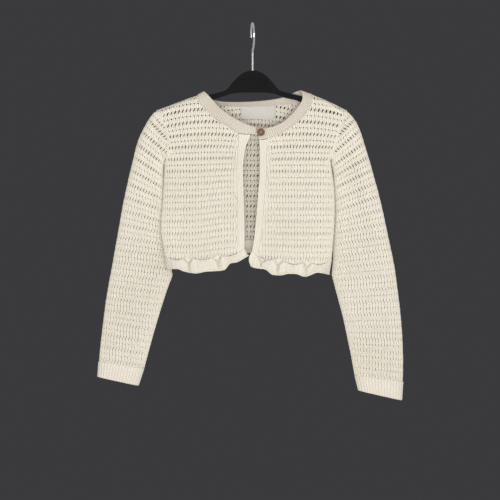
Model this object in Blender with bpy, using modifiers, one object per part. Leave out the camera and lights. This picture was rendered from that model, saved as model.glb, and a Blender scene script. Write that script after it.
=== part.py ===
# A child's short knitted cardigan that hangs on a black hanger with a wire hook.
# Left and right are as seen from the front. X runs to the right, Y to the back and Z up.
# The origin is the wire's middle at the top of the hook. Tables and sizes are in millimetres.

import bpy
import bmesh
import numpy as np

MM = 0.001
FRONT = -1
BACK = 1
ALL = slice(None)
ACROSS = (1, 0, 0)
DEPTH = (0, 1, 0)
HEIGHT = (0, 0, 1)
# Far points inside the garment, as seen from a front and from a back piece.
INSIDE = {FRONT: np.array([0.0, 50.0, -20.0]), BACK: np.array([0.0, -50.0, -20.0])}

BODY_WALL = 2.2
NECKBAND_WALL = 2.4
FRONT_BAND_WALL = 2.2
CUFF_WALL = 2.0
FRILL_WALL = 1.6
LABEL_WALL = 0.5
SEAM_GAP = 0.3
BAND_TOP_GAP = 0.6
ARMHOLE_GAP = 0.6
CURVED_SEAM_GAP = 0.5
FRILL_SEAM_GAP = 0.7
RIB_HEIGHT = 0.9
RIB_PITCH = 4.7
RIB_AT_EDGE = 0.6
NECKBAND_SWELL = 0.4
CUFF_SWELL = 0.3

BODY_DEPTH = 17.0
SHOULDER_DEPTH = 11.0
SHOULDER_ROUND = 13.0
DEPTH_GROWS_OVER = 80.0
SIDE_ROUND = 32.0
ARMHOLE_ROUND = 20.0
ARMHOLE_SHARE = 0.85
BODY_LEANS_FORWARD = 6.0
LEAN_STARTS = -240.0
LEAN_LENGTH = 150.0

UNDERARM_HEIGHT = -219.5
TIP_HEIGHT = -139.0
HEM_HEIGHT = {"left": -372.0, "right": -377.0}
LOW_ROWS = 10
CORNER_ROW = 4
SEAM_ROWS = slice(0, LOW_ROWS + 1)
ARMHOLE_ROWS = slice(LOW_ROWS + 1, None)
STRAIGHT_ROWS = slice(0, LOW_ROWS + CORNER_ROW)
NECKLINE_ROWS = slice(LOW_ROWS + CORNER_ROW, None)
# The rows over which a panel takes up the shape of its hem seam, and how fast.
HEM_ROWS = 4
BACK_HEM_POWER = 1.5
NECK_POWER = 1.3

# Steps down the armhole from the shoulder tip, as shares of its height.
ARMHOLE_STEPS = (0.0, 0.03, 0.1, 0.2, 0.32, 0.44, 0.56, 0.68, 0.8, 0.9, 0.97, 1.0)
# Steps along the neckline from the front band up to the shoulder, in stations of NECKBAND.
LEFT_NECK_STEPS = (1.0, 1.9, 2.75, 3.6, 4.4, 5.15, 5.75, 6.0)
RIGHT_NECK_STEPS = (19.0, 18.2, 17.4, 16.6, 15.8, 14.95, 14.3, 14.0)
FRONT_STEPS = (0.0, 0.03, 0.11, 0.2, 0.29, 0.38, 0.47, 0.56, 0.65, 0.74, 0.83, 0.92, 1.0)
BACK_SIDE_STEPS = (0.0, 0.012, 0.045, 0.1, 0.155)
BACK_NECK_STEPS = (6.0, 6.3, 6.9, 7.8, 8.8, 10.0, 11.2, 12.2, 13.1, 13.7, 14.0)

# The top of the shoulders, from tip to tip.
SHOULDER_LINE = np.array([
    # across, height
    (-152.6, -139.0),
    (-126.4, -129.2),
    (-109.3, -122.6),
    (-88.0, -114.8),
    (-77.0, -109.2),
    (0.0, -86.0),
    (75.5, -107.6),
    (95.5, -114.2),
    (116.0, -122.4),
    (129.3, -128.6),
    (149.6, -139.0),
])

# The outline of the body from hem to shoulder tip.
BODY_SIDES = np.array([
    # height, left edge, right edge
    (-405.0, -139.0, 123.5),
    (-370.0, -140.8, 127.0),
    (-326.0, -146.9, 130.6),
    (-290.0, -144.6, 131.8),
    (-264.0, -142.9, 130.6),
    (-240.0, -141.8, 128.0),
    (-219.5, -140.5, 125.4),
    (-208.0, -135.2, 129.0),
    (-182.0, -134.9, 135.0),
    (-166.0, -139.0, 140.6),
    (-152.0, -145.0, 146.2),
    (-139.0, -152.3, 149.3),
])

# The two front edges and the seams of their bands, from the hem up.
FRONT_EDGES = np.array([
    # height, left front's edge, its seam, right front's edge, its seam
    (-366.0, -13.4, -24.0, -1.3, 9.4),
    (-345.0, -12.8, -23.4, 2.1, 12.8),
    (-305.0, -13.2, -23.8, 6.1, 16.8),
    (-264.0, -14.4, -25.0, 9.4, 20.1),
    (-240.0, -15.0, -25.5, 11.2, 22.0),
    (-211.0, -13.4, -24.2, 11.3, 22.6),
    (-194.0, -9.5, -22.9, 10.8, 23.0),
    (-187.0, -6.2, -22.4, 10.4, 23.0),
    (-179.0, -3.0, -22.4, 9.6, 23.0),
])

# The neckband, from the left front's corner round the back to the right front's corner.
NECKBAND = np.array([
    # seam across, seam height, edge across, edge height, edge's lean to the front
    (4.6, -178.5, 5.4, -167.2, 0.0),
    (-22.4, -176.5, -11.0, -161.5, 0.0),
    (-38.0, -166.0, -27.5, -153.5, 0.0),
    (-60.5, -152.5, -50.5, -137.5, 0.0),
    (-74.0, -138.5, -61.8, -125.5, 0.0),
    (-85.0, -127.0, -70.0, -116.4, 0.0),
    (-88.0, -114.8, -77.0, -109.2, 0.0),
    (-80.0, -123.5, -70.0, -118.5, 2.0),
    (-61.0, -128.5, -54.0, -123.8, 4.5),
    (-30.0, -130.5, -27.0, -125.4, 6.5),
    (5.0, -130.8, 5.0, -124.2, 7.0),
    (40.0, -129.5, 36.0, -120.6, 6.5),
    (68.0, -126.0, 55.0, -115.5, 4.5),
    (87.0, -121.0, 68.0, -109.5, 2.0),
    (95.5, -114.2, 75.5, -107.6, 0.0),
    (94.5, -127.0, 79.6, -117.5, 0.0),
    (88.6, -138.0, 75.6, -129.5, 0.0),
    (71.0, -158.0, 61.0, -147.5, 0.0),
    (51.0, -172.8, 42.9, -161.8, 0.0),
    (23.0, -185.2, 18.0, -168.6, 0.0),
    (10.4, -187.0, 7.0, -168.0, 0.0),
])

NECK_CENTRE = np.array([3.0, 0.0, -190.0])

# Where the hem is pinched, and the height of its seam there.
LEFT_PUCKERS = np.array([
    # across, seam height
    (-139.8, -372.0),
    (-103.0, -373.0),
    (-56.0, -370.5),
    (-13.4, -360.5),
])
RIGHT_PUCKERS = np.array([
    (-1.3, -364.0),
    (42.0, -375.0),
    (86.0, -379.0),
    (126.4, -377.0),
])
LOBE_DIP = {"left": 5.0, "right": 7.0}
BAND_COLUMNS = 7
BAND_ROWS = 15

# The lower edge of the frill on each front.
LEFT_FRILL_EDGE = np.array([
    # across, height
    (-137.0, -394.0),
    (-119.4, -392.3),
    (-107.0, -396.5),
    (-90.7, -399.5),
    (-74.4, -396.5),
    (-62.1, -395.8),
    (-45.8, -394.4),
    (-36.6, -384.2),
    (-24.3, -381.1),
    (-6.6, -371.8),
])
RIGHT_FRILL_EDGE = np.array([
    (-3.0, -388.5),
    (2.2, -390.7),
    (21.4, -393.6),
    (32.6, -401.9),
    (42.7, -402.6),
    (57.3, -399.7),
    (69.6, -400.3),
    (82.1, -404.8),
    (102.2, -398.1),
    (122.4, -402.0),
])
BACK_HEM = np.array([
    # across, seam height, frill's lower edge
    (-139.8, -372.0, -394.0),
    (-100.0, -365.0, -388.0),
    (-55.0, -353.0, -375.0),
    (-5.0, -346.0, -367.0),
    (45.0, -354.0, -376.0),
    (90.0, -368.0, -391.0),
    (126.4, -377.0, -402.0),
])
BACK_LOBES = 7
LOBE_POINTS = 6
FRILL_ROWS = np.array([0.0, 0.35, 0.7, 1.0])
FRILL_POINTS = 37
FRILL_OUT = 3.0
FRILL_WAVE = 5.0
FRILL_POWER = 0.8
FRILL_FADE = 12.0
# The right frill's front end swells past its seam.
END_BULGE = -4.0
END_REACH = 6.0

# The sleeves below the armhole, a row for each ring. The last row is the seam to the cuff.
LEFT_SLEEVE = np.array([
    # outer across, outer height, inner across, inner height, half depth, middle
    (-159.2, -144.2, -141.4, -221.9, 13.5, 0.2),
    (-165.6, -152.2, -142.2, -224.2, 15.0, 0.5),
    (-175.4, -169.4, -142.6, -228.6, 15.5, 1.5),
    (-182.8, -185.2, -142.8, -232.4, 15.5, 2.5),
    (-188.0, -202.4, -142.8, -237.0, 15.5, 4.0),
    (-193.2, -224.0, -142.6, -253.6, 15.5, 5.5),
    (-198.4, -245.0, -142.6, -272.8, 15.0, 7.0),
    (-203.4, -267.0, -143.2, -290.4, 14.5, 9.0),
    (-208.2, -288.8, -144.4, -309.0, 14.0, 11.0),
    (-212.8, -314.0, -144.6, -330.0, 14.0, 13.0),
    (-217.8, -342.0, -141.0, -354.0, 14.0, 15.0),
    (-222.6, -368.0, -134.0, -380.0, 14.0, 16.5),
    (-226.4, -389.5, -129.0, -402.4, 13.5, 17.0),
    (-231.0, -414.0, -138.2, -427.4, 13.0, 16.0),
    (-236.0, -444.0, -147.4, -456.0, 12.5, 14.5),
    (-240.4, -480.0, -158.4, -493.0, 12.0, 13.0),
    (-244.2, -513.0, -167.4, -526.0, 11.0, 12.0),
    (-246.7, -540.8, -174.2, -551.8, 10.5, 11.0),
])
RIGHT_SLEEVE = np.array([
    (158.0, -147.0, 125.9, -222.2, 13.5, 0.2),
    (164.9, -156.0, 126.2, -224.8, 15.0, 0.5),
    (171.9, -170.4, 127.4, -229.0, 15.5, 1.0),
    (176.7, -185.0, 128.2, -233.0, 15.5, 1.5),
    (181.6, -201.0, 129.4, -238.0, 15.5, 2.0),
    (188.9, -224.5, 130.2, -254.0, 15.5, 3.0),
    (194.2, -244.0, 131.7, -273.0, 15.0, 4.0),
    (200.4, -266.0, 132.4, -292.0, 14.5, 4.5),
    (206.3, -289.5, 132.1, -312.0, 14.0, 5.0),
    (212.6, -318.0, 131.0, -334.0, 14.0, 5.5),
    (218.5, -346.0, 129.3, -358.0, 14.0, 6.0),
    (223.7, -370.0, 128.8, -382.0, 14.0, 6.0),
    (227.9, -392.0, 127.0, -402.0, 13.5, 6.0),
    (232.2, -424.0, 134.7, -431.2, 13.0, 5.5),
    (237.0, -464.0, 144.6, -468.0, 12.5, 5.0),
    (239.8, -500.0, 151.0, -498.0, 12.0, 4.5),
    (241.1, -538.0, 157.6, -530.0, 11.0, 4.0),
    (240.6, -572.6, 163.5, -562.9, 10.5, 4.0),
])
# The soft trough down each sleeve: middle and half width as shares from the outer edge.
SLEEVE_TROUGHS = {
    # middle, half width, top ring, bottom ring, depth
    "left": (0.78, 0.16, 4, 10, 3.0),
    "right": (0.4, 0.18, 3, 11, 3.5),
}
SLEEVE_ROUND = 20.0
# The ring at the elbow, where each sleeve's solid is parted in two.
ELBOW_RING = 11

CUFF_ENDS = {
    # outer across, outer height, inner across, inner height, half depth, middle
    "left": (-248.6, -565.6, -183.4, -579.8, 9.5, 10.5),
    "right": (238.6, -602.9, 169.6, -587.2, 9.5, 4.0),
}
CUFF_RIBS = 30

BUTTON_CENTRE = (13.1, -175.4)
# The button's turned half section.
BUTTON_PROFILE = (
    # radius, forward from the button's back
    (0.0, 2.0),
    (3.6, 2.0),
    (4.6, 2.9),
    (5.5, 3.2),
    (6.3, 2.7),
    (6.6, 1.6),
    (5.9, 0.5),
    (4.8, 0.0),
    (1.3, 0.0),
    (1.3, -1.9),
    (0.0, -1.9),
)
BUTTON_STEPS = 28
BUTTON_GAP = 0.2
BUTTON_HOLES = 2
BUTTON_HOLE_RADIUS = 0.7
BUTTON_HOLE_SPREAD = 1.5
BUTTON_HOLE_DEPTH = 3.0
BUTTON_HOLE_FORWARD = 2.2
LOOP_RADIUS = 0.8
LOOP_REACH = 3.4
LOOP_START = 5.6
LOOP_SPREAD = 1.6
LOOP_SET_BACK = 0.2
LOOP_POINTS = 11

LABEL_LEFT = -18.6
LABEL_RIGHT = 36.5
LABEL_HEIGHT = 20.7
LABEL_BELOW_SEAM = 1.2
LABEL_GAP = 0.5

# Half the hanger's outline, from the top of its arch to the end of the arm.
HANGER_ARCH = (
    # across, height
    (0.0, -75.7),
    (8.0, -76.5),
    (15.4, -79.6),
    (23.0, -85.4),
    (31.4, -93.8),
    (38.0, -102.6),
    (43.0, -107.2),
    (52.0, -110.4),
    (70.0, -114.6),
)
HANGER_ARM = (94.0, 112.0, 130.0, 140.0)
HANGER_END = 144.0
HANGER_END_DROPS = (2.5, 6.0)
HANGER_UNDER = ((140.0, 9.0), (120.0, 10.5), (95.0, 11.5), (70.0, 11.0))
HANGER_MIDDLE = ((54.0, -119.6), (34.0, -112.6), (20.0, -111.0), (0.0, -111.0))
HANGER_THICK = 7.0
HANGER_EDGE = 2.0
ARM_BELOW_SHOULDER = 4.8
RECESS_HALF = 23.0
RECESS_TOP = -91.0
RECESS_SAG = 13.0
RECESS_FLAT = 11.5
RECESS_RISE = 2.5
RECESS_DEPTH = 1.4

HOOK_WIRE = 1.5
HOOK_RADIUS = 20.0
HOOK_BEND = 8.0
HOOK_FOOT = -88.0
HOOK_TURN = 0.12
HOOK_BEND_ANGLES = (12.0, 28.0, 44.0, 60.0)
HOOK_START_ANGLE = -55.0
HOOK_TIP_ANGLE = 195.0
HOOK_POINTS = 28
BORE_RADIUS = 1.9
BORE_ABOVE = 5.0
BORE_SIDES = 16

COLOURS = {
    # red, green, blue, roughness, metallic
    "knit": (0.80, 0.75, 0.62, 0.95, 0.0),
    "rib": (0.82, 0.77, 0.65, 0.95, 0.0),
    "frill": (0.85, 0.81, 0.69, 0.9, 0.0),
    "label": (0.86, 0.83, 0.73, 0.8, 0.0),
    "button": (0.25, 0.12, 0.065, 0.4, 0.0),
    "plastic": (0.012, 0.013, 0.018, 0.35, 0.0),
    "steel": (0.6, 0.6, 0.6, 0.25, 1.0),
}

# Collections and materials


def clear_scene():
    for item in list(bpy.data.objects):
        bpy.data.objects.remove(item, do_unlink=True)


def new_collection(name):
    collection = bpy.data.collections.new(name)
    bpy.context.scene.collection.children.link(collection)
    return collection


def new_material(name, kind):
    red, green, blue, roughness, metallic = COLOURS[kind]
    material = bpy.data.materials.new(name)
    material.use_nodes = True
    shader = material.node_tree.nodes["Principled BSDF"]
    shader.inputs["Base Color"].default_value = (red, green, blue, 1.0)
    shader.inputs["Roughness"].default_value = roughness
    shader.inputs["Metallic"].default_value = metallic
    return material


def place(name, mesh, kind, collection):
    item = bpy.data.objects.new(name, mesh)
    collection.objects.link(item)
    mesh.materials.clear()
    mesh.materials.append(new_material(name, kind))
    mesh.shade_smooth()
    mesh.set_sharp_from_angle(angle=np.radians(50))
    return item


# Curves through the tables


def smooth(stations, values, at):
    """A curve through the table's rows that never swings past them."""
    stations = np.asarray(stations, float)
    values = np.asarray(values, float)
    at = np.clip(np.asarray(at, float), stations[0], stations[-1])
    steps = np.diff(stations)
    slopes = np.diff(values) / steps
    tangents = np.concatenate([slopes[:1], (slopes[:-1] + slopes[1:]) / 2, slopes[-1:]])
    limit = 3 * np.minimum(
        np.concatenate([np.abs(slopes[:1]), np.abs(slopes)]),
        np.concatenate([np.abs(slopes), np.abs(slopes[-1:])]),
    )
    turns = np.concatenate([[1.0], np.sign(slopes[:-1] * slopes[1:]), [1.0]])
    tangents = np.where(turns > 0, np.clip(tangents, -limit, limit), 0.0)
    low = np.clip(np.searchsorted(stations, at, side="right") - 1, 0, len(steps) - 1)
    part = (at - stations[low]) / steps[low]
    rest = 1 - part
    return (
        values[low] * rest**2 * (1 + 2 * part)
        + values[low + 1] * part**2 * (1 + 2 * rest)
        + tangents[low] * steps[low] * part * rest**2
        - tangents[low + 1] * steps[low] * part**2 * rest
    )


def closing(distance, radius):
    """A quarter round: 0 at the edge, 1 from the radius on."""
    share = np.clip(np.asarray(distance, float) / radius, 0, 1)
    return np.sqrt(1 - (1 - share) ** 2)


def easing(share):
    share = np.clip(np.asarray(share, float), 0, 1)
    return share**2 * (3 - 2 * share)


# The form of the worn body


def shoulder_height(across):
    return np.interp(across, SHOULDER_LINE[:, 0], SHOULDER_LINE[:, 1])


def side_edge(side, height):
    column = 1 if side == "left" else 2
    return smooth(BODY_SIDES[:, 0], BODY_SIDES[:, column], height)


def front_edge(side, height):
    column = 1 if side == "left" else 3
    return smooth(FRONT_EDGES[:, 0], FRONT_EDGES[:, column], height)


def band_seam(side, height):
    column = 2 if side == "left" else 4
    return smooth(FRONT_EDGES[:, 0], FRONT_EDGES[:, column], height)


def middle_of_body(height):
    share = easing((LEAN_STARTS - np.asarray(height, float)) / LEAN_LENGTH)
    return -BODY_LEANS_FORWARD * share


def body_depth(face, across, height):
    """Y of the cloth's outer face at a point of the front or back."""
    below = shoulder_height(across) - height
    from_side = np.minimum(
        across - side_edge("left", height), side_edge("right", height) - across
    )
    depth = SHOULDER_DEPTH + (BODY_DEPTH - SHOULDER_DEPTH) * easing(below / DEPTH_GROWS_OVER)
    armhole = ARMHOLE_SHARE * closing(height - UNDERARM_HEIGHT, ARMHOLE_ROUND)
    across_share = armhole + (1 - armhole) * closing(from_side, SIDE_ROUND)
    form = depth * closing(below, SHOULDER_ROUND) * across_share
    return middle_of_body(height) + face * form


def on_body(face, across, height):
    across = np.asarray(across, float)
    height = np.asarray(height, float)
    return np.stack([across, body_depth(face, across, height), height], axis=-1)


# Walls from grids of points


def inward_normals(grid, closed, inside, level):
    """Unit vectors from the outer face into the wall. level lists (rows, columns, axes):
    the seams where the wall's rim has no slope along those axes."""
    rows = np.gradient(grid, axis=0)
    if closed:
        columns = (np.roll(grid, -1, axis=1) - np.roll(grid, 1, axis=1)) / 2
    else:
        columns = np.gradient(grid, axis=1)
    normals = np.cross(rows, columns)
    if np.sum(normals * (inside - grid)) < 0:
        normals = -normals
    for seam_rows, seam_columns, axes in level:
        axes = np.asarray(axes, float)
        axes = axes / np.linalg.norm(axes, axis=-1, keepdims=True)
        rim = normals[seam_rows, seam_columns]
        normals[seam_rows, seam_columns] = rim - np.sum(rim * axes, axis=-1, keepdims=True) * axes
    return normals / np.maximum(np.linalg.norm(normals, axis=-1, keepdims=True), 1e-9)


def wall_mesh(name, outer, inner, closed):
    """One closed body between an outer and an inner grid."""
    rows, columns = outer.shape[:2]
    last = columns if closed else columns - 1
    shape = bmesh.new()
    out, into = (
        [[shape.verts.new(point * MM) for point in row] for row in grid]
        for grid in (outer, inner)
    )
    for j in range(last):
        k = (j + 1) % columns
        for i in range(rows - 1):
            shape.faces.new((out[i][j], out[i][k], out[i + 1][k], out[i + 1][j]))
            shape.faces.new((into[i][j], into[i + 1][j], into[i + 1][k], into[i][k]))
        for i in (0, rows - 1):
            shape.faces.new((out[i][j], out[i][k], into[i][k], into[i][j]))
    if not closed:
        for j in (0, columns - 1):
            for i in range(rows - 1):
                shape.faces.new((out[i][j], out[i + 1][j], into[i + 1][j], into[i][j]))
    bmesh.ops.recalc_face_normals(shape, faces=shape.faces)
    mesh = bpy.data.meshes.new(name)
    shape.to_mesh(mesh)
    shape.free()
    return mesh


def build_wall(name, grid, thickness, kind, collection, inside, closed=False, level=(), raised=0.0):
    normals = inward_normals(grid, closed, inside, level)
    outer = grid - normals * np.broadcast_to(raised, grid.shape[:2])[..., None]
    mesh = wall_mesh(name, outer, grid + normals * thickness, closed)
    return place(name, mesh, kind, collection)


def along_line(points, shares):
    """Points at shares of the length of a line of straight pieces."""
    lengths = np.concatenate([[0], np.cumsum(np.linalg.norm(np.diff(points, axis=0), axis=1))])
    at = np.asarray(shares) * lengths[-1]
    return np.stack([np.interp(at, lengths, points[:, i]) for i in range(3)], axis=-1)


# Body panels


def side_levels(side):
    low = np.linspace(HEM_HEIGHT[side], UNDERARM_HEIGHT, LOW_ROWS, endpoint=False)
    steps = np.array(ARMHOLE_STEPS[::-1])
    return np.concatenate([low, TIP_HEIGHT - steps * (TIP_HEIGHT - UNDERARM_HEIGHT)])


def pucker_table(side):
    return LEFT_PUCKERS if side == "left" else RIGHT_PUCKERS


def hem_lobe(side, across):
    """0 at each pucker, 1 midway between two."""
    puckers = pucker_table(side)
    phase = np.interp(across, puckers[:, 0], np.arange(len(puckers)))
    return np.abs(np.sin(np.pi * phase))


def front_hem(side, across):
    puckers = pucker_table(side)
    line = smooth(puckers[:, 0], puckers[:, 1], across)
    return line - LOBE_DIP[side] * hem_lobe(side, across)


def neck_seam(stations):
    index = np.arange(len(NECKBAND))
    return smooth(index, NECKBAND[:, 0], stations), smooth(index, NECKBAND[:, 1], stations)


def neck_points(stations, face, column):
    index = np.arange(len(NECKBAND))
    across = smooth(index, NECKBAND[:, column], stations)
    height = smooth(index, NECKBAND[:, column + 1], stations)
    points = on_body(face, across, height)
    if column == 2:
        points[:, 1] -= smooth(index, NECKBAND[:, 4], stations)
    return points


def square_to(vectors, lines):
    """The part of each vector that is square to its line."""
    lines = lines / np.linalg.norm(lines, axis=-1, keepdims=True)
    return vectors - np.sum(vectors * lines, axis=-1, keepdims=True) * lines


def across_neckband(stations, face):
    """From the neckband's seam towards its free edge, square to the seam."""
    stations = np.asarray(stations, float)
    step = 0.05
    seam = neck_points(stations + step, face, 0) - neck_points(stations - step, face, 0)
    return square_to(neck_points(stations, face, 2) - neck_points(stations, face, 0), seam)


def front_inner_edge(side):
    """The front panel's edge at the band and the neckline, a point for each row."""
    levels = side_levels(side)
    steps = LEFT_NECK_STEPS if side == "left" else RIGHT_NECK_STEPS
    neck_across, neck_height = neck_seam(steps)
    low = levels[: LOW_ROWS + CORNER_ROW]
    share = (low - UNDERARM_HEIGHT) / (levels[LOW_ROWS + CORNER_ROW] - UNDERARM_HEIGHT)
    upper = UNDERARM_HEIGHT + share * (neck_height[0] - UNDERARM_HEIGHT)
    height = np.where(low > UNDERARM_HEIGHT, upper, low)
    across = band_seam(side, height)
    return np.concatenate([across, neck_across]), np.concatenate([height, neck_height])


def hem_share(rows):
    """How much each row follows the shape of the hem seam."""
    return np.clip(1 - np.arange(rows) / HEM_ROWS, 0, 1)


def front_grid(side):
    levels = side_levels(side)
    edge_across, edge_height = front_inner_edge(side)
    steps = np.array(FRONT_STEPS)
    side_across = side_edge(side, levels)
    across = side_across[:, None] + steps * (edge_across - side_across)[:, None]
    height = levels[:, None] + steps * (edge_height - levels)[:, None]
    drop = front_hem(side, across) - HEM_HEIGHT[side]
    height = height + drop * hem_share(len(levels))[:, None]
    seam_across = band_seam(side, height[STRAIGHT_ROWS, -1])
    across[STRAIGHT_ROWS] += steps * (seam_across - across[STRAIGHT_ROWS, -1])[:, None]
    grid = on_body(FRONT, across, height)
    grid[:, 0, 1] -= SEAM_GAP / 2
    grid[-1, :, 1] -= SEAM_GAP / 2
    return grid


def build_front(side, collection):
    grid = front_grid(side)
    steps = LEFT_NECK_STEPS if side == "left" else RIGHT_NECK_STEPS
    level = (
        (0, ALL, HEIGHT),
        (SEAM_ROWS, 0, DEPTH),
        (ARMHOLE_ROWS, 0, ACROSS),
        (STRAIGHT_ROWS, -1, ACROSS),
        (NECKLINE_ROWS, -1, across_neckband(steps, FRONT)),
        (-1, ALL, DEPTH),
    )
    name = "front_" + side
    build_wall(name, grid, BODY_WALL, "knit", collection, grid + INSIDE[FRONT], level=level)


def back_grid():
    left = side_levels("left")
    right = side_levels("right")
    neck_across, neck_height = neck_seam(BACK_NECK_STEPS)
    left_tip = side_edge("left", TIP_HEIGHT)
    right_tip = side_edge("right", TIP_HEIGHT)
    steps = np.array(BACK_SIDE_STEPS)
    neck_steps = (neck_across - left_tip) / (right_tip - left_tip)
    steps = np.concatenate([steps, neck_steps, 1 - steps[::-1]])
    left_across = side_edge("left", left)
    right_across = side_edge("right", right)
    across = left_across[:, None] + steps * (right_across - left_across)[:, None]
    height = left[:, None] + steps * (right - left)[:, None]
    top = shoulder_height(across[-1])
    neck = slice(len(BACK_SIDE_STEPS), -len(BACK_SIDE_STEPS))
    top[neck] = neck_height
    rise = np.clip((left - UNDERARM_HEIGHT) / (TIP_HEIGHT - UNDERARM_HEIGHT), 0, 1)
    height = height + rise[:, None] ** NECK_POWER * (top - height[-1])
    hem = smooth(BACK_HEM[:, 0], BACK_HEM[:, 1], across[0])
    height = height + hem_share(len(left))[:, None] ** BACK_HEM_POWER * (hem - height[0])
    grid = on_body(BACK, across, height)
    grid[:, 0, 1] += SEAM_GAP / 2
    grid[:, -1, 1] += SEAM_GAP / 2
    shoulders = np.r_[0 : neck.start + 1, neck.stop - 1 + grid.shape[1] : grid.shape[1]]
    grid[-1, shoulders, 1] += SEAM_GAP / 2
    return grid, shoulders


def build_back(collection):
    grid, shoulders = back_grid()
    neck = slice(len(BACK_SIDE_STEPS), -len(BACK_SIDE_STEPS))
    level = (
        (0, ALL, HEIGHT),
        (SEAM_ROWS, 0, DEPTH),
        (SEAM_ROWS, -1, DEPTH),
        (ARMHOLE_ROWS, 0, ACROSS),
        (ARMHOLE_ROWS, -1, ACROSS),
        (-1, neck, across_neckband(BACK_NECK_STEPS, BACK)),
        (-1, shoulders, DEPTH),
    )
    build_wall("back", grid, BODY_WALL, "knit", collection, grid + INSIDE[BACK], level=level)


# Front bands


def top_stations(side):
    """Where the band's upper end meets the neckband, from the panel to the front edge."""
    last = len(NECKBAND) - 1.0
    ends = (1.0, 0.0) if side == "left" else (last - 1.0, last)
    return np.linspace(*ends, BAND_COLUMNS)


def band_grid(side):
    """From the hem up to the neckband."""
    steps = np.linspace(0, 1, BAND_COLUMNS)
    rows = np.linspace(0, 1, BAND_ROWS)
    towards_middle = 1 if side == "left" else -1
    top_height = neck_seam(top_stations(side))[1] - BAND_TOP_GAP
    hem_line = front_hem(side, front_edge(side, FRONT_EDGES[0, 0]))
    height = hem_line + rows[:, None] * (top_height - hem_line)
    inner = band_seam(side, height) + towards_middle * SEAM_GAP
    across = inner + steps * (front_edge(side, height) - inner)
    return on_body(FRONT, across, height)


def build_front_band(side, collection):
    """A strip with three fine ridges down its length."""
    grid = band_grid(side)
    top = across_neckband(top_stations(side), FRONT)
    level = ((0, ALL, HEIGHT), (ALL, 0, ACROSS), (-1, ALL, top))
    ridges = np.where(np.arange(BAND_COLUMNS) % 2 == 1, RIB_HEIGHT / 2, 0.0)
    name = "front_band_" + side
    inside = grid + INSIDE[FRONT]
    build_wall(name, grid, FRONT_BAND_WALL, "rib", collection, inside, False, level, ridges)


# Neckband


def neckband_rows():
    """The seam edge and the free edge, matched point for point, with the shoulders at y 0."""
    last = len(NECKBAND) - 1
    left = np.concatenate([[0.0, 0.5], LEFT_NECK_STEPS])
    right = np.concatenate([RIGHT_NECK_STEPS[::-1], [last - 0.5, last]])
    spans = ((left, FRONT), (BACK_NECK_STEPS[1:-1], BACK), (right, FRONT))
    seam = np.concatenate([neck_points(stations, face, 0) for stations, face in spans])
    edge = np.concatenate([neck_points(stations, face, 2) for stations, face in spans])
    return seam, edge


def build_neckband(collection):
    seam, edge = neckband_rows()
    middle = (seam + edge) / 2
    length = np.sum(np.linalg.norm(np.diff(middle, axis=0), axis=1))
    ribs = int(round(length / RIB_PITCH))
    reach = np.concatenate([[0], np.cumsum(np.linalg.norm(np.diff(middle, axis=0), axis=1))])
    at = np.linspace(0, length, 2 * ribs + 1)
    lines = [
        np.stack([np.interp(at, reach, line[:, i]) for i in range(3)], axis=-1)
        for line in (seam, edge)
    ]
    across = square_to(lines[1] - lines[0], np.gradient(lines[0], axis=0))
    width = np.linalg.norm(across, axis=1, keepdims=True)
    start = lines[0] + across / width * CURVED_SEAM_GAP
    grid = np.stack([start, (start + lines[1]) / 2, lines[1]])
    ridges = np.where(np.arange(len(at)) % 2 == 1, RIB_HEIGHT, 0.0)
    raised = np.stack([ridges, ridges + NECKBAND_SWELL, ridges * RIB_AT_EDGE])
    level = ((0, ALL, across),)
    build_wall("neckband", grid, NECKBAND_WALL, "rib", collection, NECK_CENTRE, False, level, raised)


# Hem frill


def frill_grid(top, bottom, face, lobes, fades, end_bulge):
    """Rows from the hem seam down, waving more towards the free edge."""
    wave = face * (FRILL_OUT - FRILL_WAVE * (1 - 2 * lobes**FRILL_POWER)) * fades
    grid = top + FRILL_ROWS[:, None, None] * (bottom - top)
    grid[:, :, 1] += FRILL_ROWS[:, None] ** FRILL_POWER * wave
    grid[:, :, 0] += np.sin(np.pi * FRILL_ROWS)[:, None] * end_bulge
    return grid


def build_front_frill(side, collection):
    panel = front_grid(side)[0]
    band = band_grid(side)[0]
    line = np.concatenate([panel, band[1:]])
    top = along_line(line, np.linspace(0, 1, FRILL_POINTS))
    top[:, 2] -= FRILL_SEAM_GAP
    table = LEFT_FRILL_EDGE if side == "left" else RIGHT_FRILL_EDGE
    ends = (table[0, 0], table[-1, 0]) if side == "left" else (table[-1, 0], table[0, 0])
    reach = (top[:, 0] - top[0, 0]) / (top[-1, 0] - top[0, 0])
    bottom = top.copy()
    bottom[:, 0] = ends[0] + reach * (ends[1] - ends[0])
    bottom[:, 2] = smooth(table[:, 0], table[:, 1], bottom[:, 0])
    from_side = np.abs(top[:, 0] - top[0, 0])
    from_front = np.abs(top[:, 0] - top[-1, 0])
    bulge = np.zeros(len(top))
    if side == "right":
        bulge = END_BULGE * np.exp(-from_front / END_REACH)
    lobes = hem_lobe(side, top[:, 0])
    grid = frill_grid(top, bottom, FRONT, lobes, easing(from_side / FRILL_FADE), bulge)
    level = ((0, ALL, HEIGHT), (ALL, 0, DEPTH))
    name = "hem_front_" + side
    build_wall(name, grid, FRILL_WALL, "frill", collection, grid + INSIDE[FRONT], level=level)


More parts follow.
